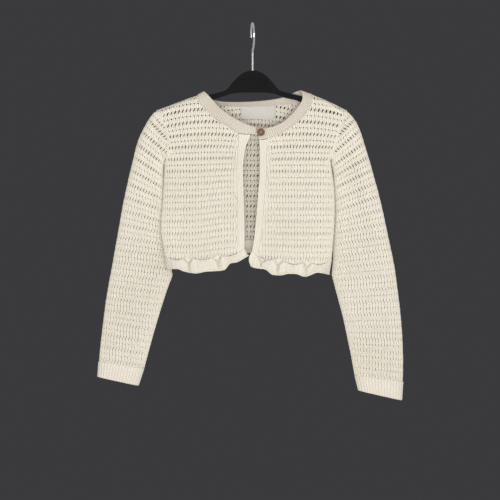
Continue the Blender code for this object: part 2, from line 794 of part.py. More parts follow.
def build_back_frill(collection):
    line = back_grid()[0][0]
    shares = np.linspace(0, 1, BACK_LOBES * LOBE_POINTS + 1)
    top = along_line(line, shares)
    top[:, 2] -= FRILL_SEAM_GAP
    bottom = top.copy()
    bottom[:, 2] = smooth(BACK_HEM[:, 0], BACK_HEM[:, 2], top[:, 0])
    reach = (top[:, 0] - top[0, 0]) / (top[-1, 0] - top[0, 0])
    left_end = LEFT_FRILL_EDGE[0, 0]
    bottom[:, 0] = left_end + reach * (RIGHT_FRILL_EDGE[-1, 0] - left_end)
    lobes = np.abs(np.sin(np.pi * BACK_LOBES * shares))
    from_side = np.minimum(np.abs(top[:, 0] - top[0, 0]), np.abs(top[:, 0] - top[-1, 0]))
    fades = easing(from_side / FRILL_FADE)
    grid = frill_grid(top, bottom, BACK, lobes, fades, np.zeros(len(top)))
    level = ((0, ALL, HEIGHT), (ALL, 0, DEPTH), (ALL, -1, DEPTH))
    inside = grid + INSIDE[BACK]
    build_wall("hem_back", grid, FRILL_WALL, "frill", collection, inside, level=level)


# Sleeves and cuffs


def ring_shares():
    """Shares from the outer edge to the inner edge and back, with the face of each."""
    steps = np.array(ARMHOLE_STEPS)
    shares = np.concatenate([steps, steps[-2:0:-1]])
    faces = np.concatenate([np.full(len(steps), FRONT), np.full(len(steps) - 2, BACK)])
    return shares, faces


def armhole_ring(side):
    shares, faces = ring_shares()
    height = TIP_HEIGHT - shares * (TIP_HEIGHT - UNDERARM_HEIGHT)
    across = side_edge(side, height)
    ring = np.stack([across, np.zeros_like(across), height], axis=-1)
    ring[:, 1] = np.where(
        faces == FRONT, body_depth(FRONT, across, height), body_depth(BACK, across, height)
    )
    ring[:, 0] += -ARMHOLE_GAP if side == "left" else ARMHOLE_GAP
    return ring


def tube_ring(row, shares, faces):
    outer_across, outer_height, inner_across, inner_height, half_depth, middle = row
    outer = np.array([outer_across, middle, outer_height])
    inner = np.array([inner_across, middle, inner_height])
    width = np.linalg.norm(inner - outer)
    ring = outer + shares[:, None] * (inner - outer)
    from_edge = np.minimum(shares, 1 - shares) * width
    ring[:, 1] += faces * half_depth * closing(from_edge, SLEEVE_ROUND)
    return ring


def sleeve_grid(side):
    shares, faces = ring_shares()
    table = LEFT_SLEEVE if side == "left" else RIGHT_SLEEVE
    middle, half_width, top_ring, bottom_ring, depth = SLEEVE_TROUGHS[side]
    across_share = np.exp(-(((shares - middle) / half_width) ** 2)) * (faces == FRONT)
    rings = [armhole_ring(side)]
    for index, row in enumerate(table):
        ring = tube_ring(row, shares, faces)
        along = (index - top_ring) / (bottom_ring - top_ring)
        ring[:, 1] += depth * np.sin(np.pi * np.clip(along, 0, 1)) * across_share
        rings.append(ring)
    return np.stack(rings)


def ring_axis(row, lower):
    """Along the tube, square to a ring's width."""
    width = np.array([row[2] - row[0], 0, row[3] - row[1]])
    axis = np.cross(width, (0, 1, 0))
    return axis if axis[2] * lower > 0 else -axis


def build_sleeve(side, collection):
    """The tube of one sleeve, parted at the elbow into two solids."""
    grid = sleeve_grid(side)
    table = LEFT_SLEEVE if side == "left" else RIGHT_SLEEVE
    elbow = table[ELBOW_RING - 1]
    down = ring_axis(elbow, -1)
    upper = grid[:ELBOW_RING + 1]
    lower = grid[ELBOW_RING:].copy()
    lower[0] += down / np.linalg.norm(down) * SEAM_GAP
    upper_level = ((0, ALL, ACROSS), (-1, ALL, ring_axis(elbow, 1)))
    lower_level = ((0, ALL, down), (-1, ALL, ring_axis(table[-1], 1)))
    for name, part, level in (
        ("sleeve_" + side, upper, upper_level),
        ("forearm_" + side, lower, lower_level),
    ):
        inside = part.mean(axis=1, keepdims=True)
        build_wall(name, part, BODY_WALL, "knit", collection, inside, True, level)


def build_cuff(side, collection):
    table = LEFT_SLEEVE if side == "left" else RIGHT_SLEEVE
    points = CUFF_RIBS * 2
    turn = np.linspace(0, 2, points, endpoint=False)
    shares = np.where(turn <= 1, turn, 2 - turn)
    faces = np.where(turn <= 1, FRONT, BACK)
    start = np.array(table[-1])
    end = np.array(CUFF_ENDS[side])
    down = ring_axis(table[-1], -1)
    halfway = (start + end) / 2
    grid = np.stack([tube_ring(row, shares, faces) for row in (start, halfway, end)])
    grid[0] += down / np.linalg.norm(down) * SEAM_GAP
    ridges = np.where(np.arange(points) % 2 == 1, RIB_HEIGHT, 0.0)
    raised = np.stack([ridges, ridges + CUFF_SWELL, ridges])
    level = ((0, ALL, down), (-1, ALL, ring_axis(end, 1)))
    inside = grid.mean(axis=1, keepdims=True)
    build_wall("cuff_" + side, grid, CUFF_WALL, "rib", collection, inside, True, level, raised)


# Button, its loop and the neck label


def loop_depth():
    """Y of the loop's thread, resting on the neckband's ribs."""
    across, height = BUTTON_CENTRE
    cloth = float(body_depth(FRONT, across, height))
    return cloth - RIB_HEIGHT - NECKBAND_SWELL - SEAM_GAP - LOOP_RADIUS


def button_back():
    return loop_depth() - LOOP_RADIUS - BUTTON_GAP


def build_button(collection, cutters):
    across, height = BUTTON_CENTRE
    profile = bpy.data.meshes.new("button_profile")
    points = [(radius * MM, 0.0, forward * MM) for radius, forward in BUTTON_PROFILE]
    edges = [(i, i + 1) for i in range(len(points) - 1)]
    profile.from_pydata(points, edges, [])
    item = place("button", profile, "button", collection)
    screw = item.modifiers.new("turn", "SCREW")
    screw.steps = BUTTON_STEPS
    screw.render_steps = BUTTON_STEPS
    screw.use_merge_vertices = True
    screw.merge_threshold = 0.00001
    screw.use_normal_calculate = True
    item.rotation_euler = (np.pi / 2, 0, 0)
    item.location = (across * MM, button_back() * MM, height * MM)
    middle = button_back() - BUTTON_HOLE_FORWARD
    for index in range(BUTTON_HOLES):
        offset = (2 * index - 1) * BUTTON_HOLE_SPREAD
        bpy.ops.mesh.primitive_cylinder_add(
            vertices=12,
            radius=BUTTON_HOLE_RADIUS * MM,
            depth=BUTTON_HOLE_DEPTH * MM,
            location=((across + offset) * MM, middle * MM, height * MM),
            rotation=(np.pi / 2, 0, 0),
        )
        cutter = bpy.context.object
        cutter.name = "button_hole_cutter_" + str(index + 1)
        move_to(cutter, cutters)
        cut = item.modifiers.new("hole", "BOOLEAN")
        cut.operation = "DIFFERENCE"
        cut.object = cutter


def move_to(item, collection):
    for holder in list(item.users_collection):
        holder.objects.unlink(item)
    collection.objects.link(item)
    item.hide_render = True
    item.display_type = "WIRE"


def wire(name, points, radius, kind, collection, resolution=2):
    curve = bpy.data.curves.new(name, "CURVE")
    curve.dimensions = "3D"
    curve.bevel_depth = radius * MM
    curve.bevel_resolution = resolution
    curve.use_fill_caps = True
    spline = curve.splines.new("POLY")
    spline.points.add(len(points) - 1)
    for point, place_on in zip(spline.points, points):
        point.co = (*(np.asarray(place_on) * MM), 1.0)
    item = bpy.data.objects.new(name, curve)
    collection.objects.link(item)
    curve.materials.append(new_material(name, kind))
    return item


def build_button_loop(collection):
    """A thread from the left front's corner, round the button's shank and back."""
    across, height = BUTTON_CENTRE
    depth = loop_depth()
    turns = np.radians(np.linspace(90, -90, LOOP_POINTS))
    bend = [
        (across + LOOP_REACH * np.cos(turn), depth, height + LOOP_REACH * np.sin(turn))
        for turn in turns
    ]
    start = float(front_edge("left", height)) + LOOP_START
    upper = (start, depth + LOOP_SET_BACK, height + LOOP_SPREAD)
    lower = (start, depth + LOOP_SET_BACK, height - LOOP_SPREAD)
    wire("button_loop", [upper, *bend, lower], LOOP_RADIUS, "rib", collection)


def build_label(collection):
    across = np.linspace(LABEL_LEFT, LABEL_RIGHT, 9)
    index = np.arange(len(NECKBAND))
    stations = np.interp(across, NECKBAND[8:12, 0], index[8:12])
    top = neck_seam(stations)[1] - LABEL_BELOW_SEAM
    rows = np.linspace(0, 1, 4)
    height = top - rows[:, None] * LABEL_HEIGHT
    across = np.broadcast_to(across, height.shape)
    grid = on_body(BACK, across, height)
    grid[:, :, 1] -= BODY_WALL + LABEL_GAP
    build_wall("neck_label", grid, LABEL_WALL, "label", collection, grid + INSIDE[BACK])


# Hanger and hook


def hanger_outline():
    """The right half from the arch's top round the arm to the middle of the lower edge."""
    points = list(HANGER_ARCH)
    for across in HANGER_ARM:
        points.append((across, hanger_top(across)))
    for drop in HANGER_END_DROPS:
        points.append((HANGER_END, hanger_top(HANGER_END) - drop))
    for across, height in HANGER_UNDER:
        points.append((across, hanger_top(across) - height))
    points.extend(HANGER_MIDDLE)
    return points


def hanger_top(across):
    both = min(float(shoulder_height(across)), float(shoulder_height(-across)))
    return both - ARM_BELOW_SHOULDER


def flat_plate(name, outline, thickness, kind, collection):
    """A flat outline, extruded to its thickness and made a mesh."""
    curve = bpy.data.curves.new(name + "_outline", "CURVE")
    curve.dimensions = "2D"
    curve.fill_mode = "BOTH"
    curve.extrude = thickness * MM / 2
    spline = curve.splines.new("POLY")
    spline.use_cyclic_u = True
    spline.points.add(len(outline) - 1)
    for point, (across, height) in zip(spline.points, outline):
        point.co = (across * MM, height * MM, 0.0, 1.0)
    source = bpy.data.objects.new(name + "_outline", curve)
    collection.objects.link(source)
    source.rotation_euler = (np.pi / 2, 0, 0)
    bpy.context.view_layer.update()
    evaluated = source.evaluated_get(bpy.context.evaluated_depsgraph_get())
    mesh = bpy.data.meshes.new_from_object(evaluated)
    shape = bmesh.new()
    shape.from_mesh(mesh)
    bmesh.ops.remove_doubles(shape, verts=shape.verts, dist=0.000001)
    bmesh.ops.recalc_face_normals(shape, faces=shape.faces)
    shape.to_mesh(mesh)
    shape.free()
    item = place(name, mesh, kind, collection)
    item.matrix_world = source.matrix_world
    bpy.data.objects.remove(source, do_unlink=True)
    return item


def recess_outline():
    """A lens: a flat top over a curved foot."""
    turns = np.linspace(0, np.pi, 13)
    foot = [
        (RECESS_HALF * np.cos(turn), RECESS_TOP - RECESS_SAG * np.sin(turn)) for turn in turns
    ]
    height = RECESS_TOP + RECESS_RISE
    return foot + [(-RECESS_FLAT, height), (RECESS_FLAT, height)]


def build_hanger(collection, cutters):
    right = hanger_outline()
    left = [(-across, height) for across, height in right[-2:0:-1]]
    item = flat_plate("hanger", right + left, HANGER_THICK, "plastic", collection)
    edge = item.modifiers.new("rounded edges", "BEVEL")
    edge.width = HANGER_EDGE * MM
    edge.segments = 2
    edge.limit_method = "ANGLE"
    edge.angle_limit = np.radians(60)
    for face in (FRONT, BACK):
        cutter = flat_plate("recess_cutter", recess_outline(), 2 * RECESS_DEPTH, "plastic", cutters)
        cutter.location.y = face * HANGER_THICK * MM / 2
        move_to(cutter, cutters)
        cut = item.modifiers.new("recess", "BOOLEAN")
        cut.operation = "DIFFERENCE"
        cut.object = cutter
    length = HANGER_ARCH[0][1] + BORE_ABOVE - HOOK_FOOT + SEAM_GAP
    bpy.ops.mesh.primitive_cylinder_add(
        vertices=BORE_SIDES,
        radius=BORE_RADIUS * MM,
        depth=length * MM,
        location=(0, 0, (HOOK_FOOT - SEAM_GAP + length / 2) * MM),
    )
    bore = bpy.context.object
    bore.name = "bore_cutter"
    move_to(bore, cutters)
    cut = item.modifiers.new("bore", "BOOLEAN")
    cut.operation = "DIFFERENCE"
    cut.object = bore


def hook_path():
    """Up the shank, out to the back, over the crown and down to the tip in front."""
    foot = [(0.0, 0.0, HOOK_FOOT), (0.0, 0.0, -2 * HOOK_RADIUS - HOOK_BEND)]
    bend = [
        (0.0, HOOK_BEND * (1 - np.cos(turn)), foot[1][2] + HOOK_BEND * np.sin(turn))
        for turn in np.radians(HOOK_BEND_ANGLES)
    ]
    turns = np.radians(np.linspace(HOOK_START_ANGLE, HOOK_TIP_ANGLE, HOOK_POINTS))
    crown = [
        (0.0, HOOK_RADIUS * np.cos(turn), -HOOK_RADIUS + HOOK_RADIUS * np.sin(turn))
        for turn in turns
    ]
    points = np.array(foot + bend + crown)
    points[:, 0] = HOOK_TURN * points[:, 1]
    return points


def build_hook(collection):
    wire("hook", hook_path(), HOOK_WIRE, "steel", collection, resolution=3)


def main():
    clear_scene()
    collection = new_collection("cardigan on a hanger")
    cutters = new_collection("cutters")
    build_back(collection)
    for side in ("left", "right"):
        build_front(side, collection)
        build_front_band(side, collection)
        build_front_frill(side, collection)
        build_sleeve(side, collection)
        build_cuff(side, collection)
    build_neckband(collection)
    build_back_frill(collection)
    build_button(collection, cutters)
    build_button_loop(collection)
    build_label(collection)
    build_hanger(collection, cutters)
    build_hook(collection)


main()
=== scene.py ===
# %% [markdown]
# # A child's short cream cardigan on a black hanger
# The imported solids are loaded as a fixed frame. Each plain cloth solid is then replaced by a knitted
# piece that follows the same surface, strand by strand. Left and right are as seen from the front, X runs
# to the right, Y to the back and Z up. Tables are in millimetres.

# %% Load the frame
import bpy
import numpy as np
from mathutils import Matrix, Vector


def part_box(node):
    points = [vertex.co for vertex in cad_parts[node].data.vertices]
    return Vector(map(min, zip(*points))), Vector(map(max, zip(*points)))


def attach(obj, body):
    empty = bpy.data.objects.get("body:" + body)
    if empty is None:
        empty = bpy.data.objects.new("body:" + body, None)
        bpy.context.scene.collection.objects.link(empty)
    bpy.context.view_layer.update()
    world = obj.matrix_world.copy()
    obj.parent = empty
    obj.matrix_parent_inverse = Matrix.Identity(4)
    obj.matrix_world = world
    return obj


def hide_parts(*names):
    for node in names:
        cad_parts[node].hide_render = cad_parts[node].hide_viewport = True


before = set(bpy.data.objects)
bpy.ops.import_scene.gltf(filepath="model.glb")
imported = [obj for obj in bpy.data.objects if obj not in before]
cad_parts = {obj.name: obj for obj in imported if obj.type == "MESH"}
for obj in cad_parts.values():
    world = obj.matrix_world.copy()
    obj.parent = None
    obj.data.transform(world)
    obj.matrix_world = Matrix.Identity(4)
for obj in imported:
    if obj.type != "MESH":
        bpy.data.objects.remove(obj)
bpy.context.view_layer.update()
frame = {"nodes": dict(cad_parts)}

MM = 0.001
FRONT, BACK = -1, 1
SIDES = ("left", "right")
INWARD = {"left": 1, "right": -1}
chance = np.random.default_rng(7)
print("nodes in the frame:", len(frame["nodes"]))

# %% [markdown]
# ## Camera
# The garment was photographed straight on. One pixel of the square picture is 1.6 mm at the cloth, so the
# picture is 0.8 m wide there, and a 135 mm lens stands 3 m in front.

# %% Camera
PICTURE_WIDTH = 0.8
PICTURE_CENTRE = (-0.0042, -0.3624)
CLOTH_Y = 0.002
LENS = 135.0
SENSOR = 36.0

scene = bpy.context.scene
camera_data = bpy.data.cameras.new("camera")
camera_data.lens = LENS
camera_data.sensor_width = SENSOR
camera_data.clip_end = 30.0
camera = bpy.data.objects.new("camera", camera_data)
scene.collection.objects.link(camera)
distance = PICTURE_WIDTH * LENS / SENSOR
camera.location = (PICTURE_CENTRE[0], CLOTH_Y - distance, PICTURE_CENTRE[1])
camera.rotation_euler = (np.pi / 2, 0, 0)
scene.camera = camera
scene.view_settings.view_transform = "Standard"
print("camera stands", round(distance, 3), "m in front of the cloth")

# %% [markdown]
# ## Light and floor
# The photograph was taken in soft light from the front, so the stitches throw hardly any shadow. Lamps have
# no picture of their own, so large discs do this: the strongest stands before the garment, a warm one below
# brightens the sleeves, and two weak ones keep a trace of form. The surroundings are a plain dark grey to
# the camera, so the holes of the knit read dark, and a pale warm white to everything else. A pale floor
# lies low, under the hanging sleeves.

# %% Light and floor
def soft_lamp(name, place, aim, size, power, colour):
    """A round lamp that faces the point it is aimed at."""
    data = bpy.data.lights.new(name, "AREA")
    data.shape = "DISK"
    data.size = size
    data.energy = power
    data.color = colour
    lamp = bpy.data.objects.new(name, data)
    lamp.location = place
    direction = np.array(aim) - np.array(place)
    lamp.rotation_euler = (
        np.arctan2(np.hypot(direction[0], direction[1]), -direction[2]),
        0.0,
        np.arctan2(direction[0], -direction[1]) + np.pi,
    )
    scene.collection.objects.link(lamp)


soft_lamp("lamp_above", (-0.6, -1.9, 1.0), (0, 0, -0.35), 1.1, 2.5, (1.0, 0.985, 0.96))
soft_lamp("lamp_right", (1.4, -1.6, -0.3), (0, 0, -0.35), 1.2, 5.0, (0.97, 0.98, 1.0))
soft_lamp("lamp_low", (-0.8, -1.4, -1.1), (0, 0, -0.5), 1.0, 11.0, (1.0, 0.98, 0.95))
soft_lamp("lamp_front", (0.1, -2.2, -0.65), (0, 0, -0.5), 1.1, 30.0, (1.0, 0.985, 0.96))

world = bpy.data.worlds.new("surroundings")
scene.world = world
world.use_nodes = True
tree = world.node_tree
tree.nodes.clear()
seen = tree.nodes.new("ShaderNodeBackground")
seen.inputs["Color"].default_value = (0.043, 0.043, 0.046, 1.0)
lit = tree.nodes.new("ShaderNodeBackground")
lit.inputs["Color"].default_value = (1.0, 0.96, 0.92, 1.0)
lit.inputs["Strength"].default_value = 0.52
ray = tree.nodes.new("ShaderNodeLightPath")
choose = tree.nodes.new("ShaderNodeMixShader")
end = tree.nodes.new("ShaderNodeOutputWorld")
tree.links.new(ray.outputs["Is Camera Ray"], choose.inputs[0])
tree.links.new(lit.outputs[0], choose.inputs[1])
tree.links.new(seen.outputs[0], choose.inputs[2])
tree.links.new(choose.outputs[0], end.inputs["Surface"])

FLOOR_HEIGHT = -0.86
bpy.ops.mesh.primitive_grid_add(x_subdivisions=4, y_subdivisions=4, size=1.0)
floor = bpy.context.object
floor.name = "floor"
floor.scale = (2.4, 1.7, 1.0)
floor.location = (0, -0.52, FLOOR_HEIGHT)
print("floor at", FLOOR_HEIGHT, "m")

# %% [markdown]
# ## The form that the cloth hangs in
# The worn form is a flattened tube: a front and a back face that round into each other at the sides and
# over the shoulders. The same named sizes and tables shape the solids of the frame, so the knit can be
# laid exactly on them. A smooth curve through each table gives the outline at any height.

# %% Sizes and outlines of the body
BODY_WALL = 2.2
SHOULDER_DEPTH, BODY_DEPTH, DEPTH_GROWS_OVER = 11.0, 17.0, 80.0
SHOULDER_ROUND, SIDE_ROUND, ARMHOLE_ROUND, ARMHOLE_SHARE = 13.0, 32.0, 20.0, 0.85
BODY_LEANS_FORWARD, LEAN_STARTS, LEAN_LENGTH = 6.0, -240.0, 150.0
UNDERARM_HEIGHT, TIP_HEIGHT = -219.5, -139.0

SHOULDER_LINE = np.array([
    # across, height
    (-152.6, -139.0), (-126.4, -129.2), (-109.3, -122.6), (-88.0, -114.8), (-77.0, -109.2), (0.0, -86.0),
    (75.5, -107.6), (95.5, -114.2), (116.0, -122.4), (129.3, -128.6), (149.6, -139.0),
])
BODY_SIDES = np.array([
    # height, left edge, right edge
    (-405.0, -139.0, 123.5), (-370.0, -140.8, 127.0), (-326.0, -146.9, 130.6),
    (-290.0, -144.6, 131.8), (-264.0, -142.9, 130.6), (-240.0, -141.8, 128.0),
    (-219.5, -140.5, 125.4), (-208.0, -135.2, 129.0), (-182.0, -134.9, 135.0),
    (-166.0, -139.0, 140.6), (-152.0, -145.0, 146.2), (-139.0, -152.3, 149.3),
])
FRONT_EDGES = np.array([
    # height, left front's edge, its seam, right front's edge, its seam
    (-366.0, -13.4, -24.0, -1.3, 9.4), (-345.0, -12.8, -23.4, 2.1, 12.8),
    (-305.0, -13.2, -23.8, 6.1, 16.8), (-264.0, -14.4, -25.0, 9.4, 20.1),
    (-240.0, -15.0, -25.5, 11.2, 22.0), (-211.0, -13.4, -24.2, 11.3, 22.6),
    (-194.0, -9.5, -22.9, 10.8, 23.0), (-187.0, -6.2, -22.4, 10.4, 23.0),
    (-179.0, -3.0, -22.4, 9.6, 23.0),
])
NECKBAND = np.array([
    # seam across, seam height, edge across, edge height, edge's lean to the front
    (4.6, -178.5, 5.4, -167.2, 0.0), (-22.4, -176.5, -11.0, -161.5, 0.0),
    (-38.0, -166.0, -27.5, -153.5, 0.0), (-60.5, -152.5, -50.5, -137.5, 0.0),
    (-74.0, -138.5, -61.8, -125.5, 0.0), (-85.0, -127.0, -70.0, -116.4, 0.0),
    (-88.0, -114.8, -77.0, -109.2, 0.0), (-80.0, -123.5, -70.0, -118.5, 2.0),
    (-61.0, -128.5, -54.0, -123.8, 4.5), (-30.0, -130.5, -27.0, -125.4, 6.5),
    (5.0, -130.8, 5.0, -124.2, 7.0), (40.0, -129.5, 36.0, -120.6, 6.5),
    (68.0, -126.0, 55.0, -115.5, 4.5), (87.0, -121.0, 68.0, -109.5, 2.0),
    (95.5, -114.2, 75.5, -107.6, 0.0), (94.5, -127.0, 79.6, -117.5, 0.0),
    (88.6, -138.0, 75.6, -129.5, 0.0), (71.0, -158.0, 61.0, -147.5, 0.0),
    (51.0, -172.8, 42.9, -161.8, 0.0), (23.0, -185.2, 18.0, -168.6, 0.0),
    (10.4, -187.0, 7.0, -168.0, 0.0),
])
# The neckband's rows where each front's neckline starts and where it meets the shoulder.
NECK_ROWS = {"left": (1.0, 6.0), "right": (19.0, 14.0)}
HEM_HEIGHT = {"left": -372.0, "right": -377.0}
HEM_LEVEL = -374.0

print("the body is held by", len(BODY_SIDES), "heights and the neckband by", len(NECKBAND), "rows")

# %% [markdown]
# ## From tables to a surface
# A table has few rows, so that it can be read and changed. Straight lines between them would show as kinks,
# and a free spline would swing past them. The curve here keeps to the rows: where the slope turns, it is
# flat. Depth needs no table, because the cloth rounds off towards every fold as part of a circle does.

# %% Curves and the body's surface
def smooth(stations, values, at):
    """A curve through the table's rows that never swings past them."""
    stations = np.asarray(stations, float)
    values = np.asarray(values, float)
    at = np.clip(np.asarray(at, float), stations[0], stations[-1])
    steps = np.diff(stations)
    slopes = np.diff(values) / steps
    tangents = np.concatenate([slopes[:1], (slopes[:-1] + slopes[1:]) / 2, slopes[-1:]])
    limit = 3 * np.minimum(
        np.concatenate([np.abs(slopes[:1]), np.abs(slopes)]),
        np.concatenate([np.abs(slopes), np.abs(slopes[-1:])]),
    )
    turns = np.concatenate([[1.0], np.sign(slopes[:-1] * slopes[1:]), [1.0]])
    tangents = np.where(turns > 0, np.clip(tangents, -limit, limit), 0.0)
    low = np.clip(np.searchsorted(stations, at, side="right") - 1, 0, len(steps) - 1)
    part = (at - stations[low]) / steps[low]
    rest = 1 - part
    return (
        values[low] * rest**2 * (1 + 2 * part)
        + values[low + 1] * part**2 * (1 + 2 * rest)
        + tangents[low] * steps[low] * part * rest**2
        - tangents[low + 1] * steps[low] * part**2 * rest
    )


def closing(distance, radius):
    """A quarter round: 0 at the edge, 1 from the radius on."""
    share = np.clip(np.asarray(distance, float) / radius, 0, 1)
    return np.sqrt(1 - (1 - share) ** 2)


def easing(share):
    """0 up to 0 and 1 from 1 on, with a soft start and end between."""
    share = np.clip(np.asarray(share, float), 0, 1)
    return share**2 * (3 - 2 * share)


def shoulder_height(across):
    return np.interp(across, SHOULDER_LINE[:, 0], SHOULDER_LINE[:, 1])


def side_edge(side, height):
    return smooth(BODY_SIDES[:, 0], BODY_SIDES[:, 1 if side == "left" else 2], height)


def front_edge(side, height):
    return smooth(FRONT_EDGES[:, 0], FRONT_EDGES[:, 1 if side == "left" else 3], height)


def band_seam(side, height):
    return smooth(FRONT_EDGES[:, 0], FRONT_EDGES[:, 2 if side == "left" else 4], height)


def body_depth(face, across, height):
    """Y of the cloth's outer face at a point of the front or back."""
    below = shoulder_height(across) - height
    from_side = np.minimum(
        across - side_edge("left", height), side_edge("right", height) - across
    )
    depth = SHOULDER_DEPTH + (BODY_DEPTH - SHOULDER_DEPTH) * easing(below / DEPTH_GROWS_OVER)
    armhole = ARMHOLE_SHARE * closing(height - UNDERARM_HEIGHT, ARMHOLE_ROUND)
    share = armhole + (1 - armhole) * closing(from_side, SIDE_ROUND)
    middle = -BODY_LEANS_FORWARD * easing((LEAN_STARTS - height) / LEAN_LENGTH)
    return middle + face * depth * closing(below, SHOULDER_ROUND) * share


def on_body(face, across, height):
    """Points of the cloth's outer face, from their places as seen from the front."""
    across = np.asarray(across, float)
    height = np.asarray(height, float)
    return np.stack([across, body_depth(face, across, height), height], axis=-1)


print("body is", side_edge("right", -300) - side_edge("left", -300), "mm wide at the waist")

# %% [markdown]
# ## Strands of yarn
# Openwork knit is seen through, so a picture of it on a flat wall looks dead from the side. Here every
# strand is a thin tube. A tube needs a centre line, the cloth's own direction outwards to keep it from
# twisting, and a width and a thickness. Many tubes share one mesh, which is filled with whole arrays at
# once, because adding faces one at a time would take minutes. Each corner also keeps its place on the
# strand, round it and along it, in a UV layer: the yarn's plies are drawn by it later.

# %% Meshes from arrays
def unit(vectors):
    return vectors / np.maximum(np.linalg.norm(vectors, axis=-1, keepdims=True), 1e-9)


def make_mesh(name, points, faces, places):
    """points in mm, faces as a list of index arrays, and for each array the (u, v) of its corners."""
    mesh = bpy.data.meshes.new(name)
    mesh.vertices.add(len(points))
    mesh.vertices.foreach_set("co", (points * MM).astype(np.float32).ravel())
    corners = np.concatenate([part.ravel() for part in faces])
    sizes = np.concatenate([np.full(len(part), part.shape[1]) for part in faces])
    mesh.loops.add(len(corners))
    mesh.loops.foreach_set("vertex_index", corners.astype(np.int32))
    mesh.polygons.add(len(sizes))
    starts = np.concatenate([[0], np.cumsum(sizes)[:-1]])
    mesh.polygons.foreach_set("loop_start", starts.astype(np.int32))
    mesh.update(calc_edges=True)
    layer = mesh.uv_layers.new(name="yarn")
    flat = np.concatenate([part.reshape(-1, 2) for part in places])
    layer.data.foreach_set("uv", flat.astype(np.float32).ravel())
    mesh.shade_smooth()
    piece = bpy.data.objects.new(name, mesh)
    scene.collection.objects.link(piece)
    return piece


print("meshes are filled from arrays, in units of", MM, "m")

# %% Tubes
def tubes(centres, outward, wide, thick, shown, sides):
    """Tubes along the first axis of centres. shown says which rings exist. Points, faces and places."""
    rings, strands = centres.shape[:2]
    along = unit(np.gradient(centres, axis=0))
    beside = unit(np.cross(along, outward))
    out = unit(np.cross(beside, along))
    turn = np.arange(sides) * 2 * np.pi / sides
    points = (
        centres[:, :, None]
        + beside[:, :, None] * (np.cos(turn)[:, None] * wide[..., None, None])
        + out[:, :, None] * (np.sin(turn)[:, None] * thick[..., None, None])
    )
    index = np.arange(rings * strands * sides).reshape(rings, strands, sides)
    steps = np.linalg.norm(np.diff(centres, axis=0), axis=-1)
    reach = np.concatenate([np.zeros((1, strands)), np.cumsum(steps, axis=0)])
    both = shown[:-1] & shown[1:]
    ahead = np.roll(index, -1, axis=2)
    quads = np.stack([index[:-1], ahead[:-1], ahead[1:], index[1:]], axis=-1)[both].reshape(-1, 4)
    low = np.broadcast_to(reach[:-1, :, None], index[:-1].shape)
    high = np.broadcast_to(reach[1:, :, None], index[1:].shape)
    left = np.broadcast_to(np.arange(sides) / sides, low.shape)
    right = left + 1 / sides
    places = np.stack([left, low, right, low, right, high, left, high], axis=-1)[both].reshape(-1, 4, 2)
    before = np.concatenate([np.zeros((1, strands), bool), both])
    after = np.concatenate([both, np.zeros((1, strands), bool)])
    first = index[after & ~before][:, ::-1]
    last = index[before & ~after]
    caps = np.concatenate([first, last])
    cap_places = np.zeros((*caps.shape, 2))
    return points.reshape(-1, 3), [quads, caps], [places, cap_places]


def join(parts):
    """One set of points, faces and places from several, without unused points."""
    faces, places, total = [], [], 0
    for points, part_faces, part_places in parts:
        faces += [face + total for face in part_faces if len(face)]
        places += [place for face, place in zip(part_faces, part_places) if len(face)]
        total += len(points)
    points = np.concatenate([part[0] for part in parts])
    used = np.zeros(len(points), bool)
    for face in faces:
        used[face.ravel()] = True
    number = np.cumsum(used) - 1
    return points[used], [number[face] for face in faces], places


def count_triangles(faces):
    return sum(len(face) * (face.shape[1] - 2) for face in faces)


sample = tubes(np.zeros((3, 1, 3)), np.ones((3, 1, 3)), *np.ones((2, 3, 1)), np.ones((3, 1), bool), 6)
print("a tube of three rings with six sides has", count_triangles(sample[1]), "triangles")

# %% [markdown]
# ## The openwork stitch
# Two rows repeat up the cloth, every 19.85 mm: a row of tall slots that lean to the right and a row of small
# round holes. Each wale, which is one column of stitches, has two flat legs. They draw together beside a
# hole and touch their neighbours in the closed band between two rows, and the column swings right past the
# slots and left past the dots. The table holds one repeat, and its widths are parts of a wale's pitch. How
# far the holes open is left out of it: over the chest the cloth is stretched and they gape, and further
# down they are almost shut, so each panel brings its own table of that.

# %% The stitch
REPEAT = 19.85
STITCH = np.array([
    # height, swing, leg's offset, leg's half width, leg's half thickness in mm, lift in mm
    (-3.2, -0.15, 0.246, 0.260, 0.74, 0.12), (-1.7, -0.10, 0.165, 0.150, 0.66, 0.05),
    (1.7, 0.10, 0.165, 0.150, 0.66, 0.05), (3.2, 0.15, 0.246, 0.260, 0.74, 0.12),
    (5.6, 0.13, 0.246, 0.262, 0.80, 0.22), (8.1, 0.08, 0.246, 0.258, 0.76, 0.15),
    (9.9, 0.00, 0.165, 0.150, 0.66, 0.08), (11.7, -0.08, 0.246, 0.258, 0.76, 0.15),
    (14.2, -0.13, 0.246, 0.262, 0.80, 0.22),
])
# A leg beside a hole that is shut, in parts of the wale's pitch.
SHUT_OFFSET, SHUT_HALF_WIDTH = 0.235, 0.245
# The table's rows that belong to a repeat's round holes.
DOT_ROWS = (5, 6, 7)
LAST_SLOT_ROW = 4
HOLE_VARIATION, SMALLEST_HOLE, LARGEST_HOLE = 0.12, 0.7, 1.3
# How far a wale strays from its column, in wales, and how far its right leg lies over its left one, in mm.
WALE_WANDER, LEG_LIFT = 0.014, 0.1
COLUMN_PARTS = 4
LEG_SIDES = 6
CLOTH_MIDDLE = BODY_WALL / 2


def stitch_levels(start, end, slots_at, repeat=REPEAT):
    """Heights of all levels between start and end, and each level's row in the stitch's table."""
    repeats = np.arange(np.floor((start - slots_at) / repeat), np.ceil((end - slots_at) / repeat) + 1)
    heights = (slots_at + (repeats[:, None] + STITCH[:, 0] / REPEAT) * repeat).ravel()
    rows = np.tile(np.arange(len(STITCH)), len(repeats))
    keep = (heights > start) & (heights < end)
    return heights[keep], rows[keep]


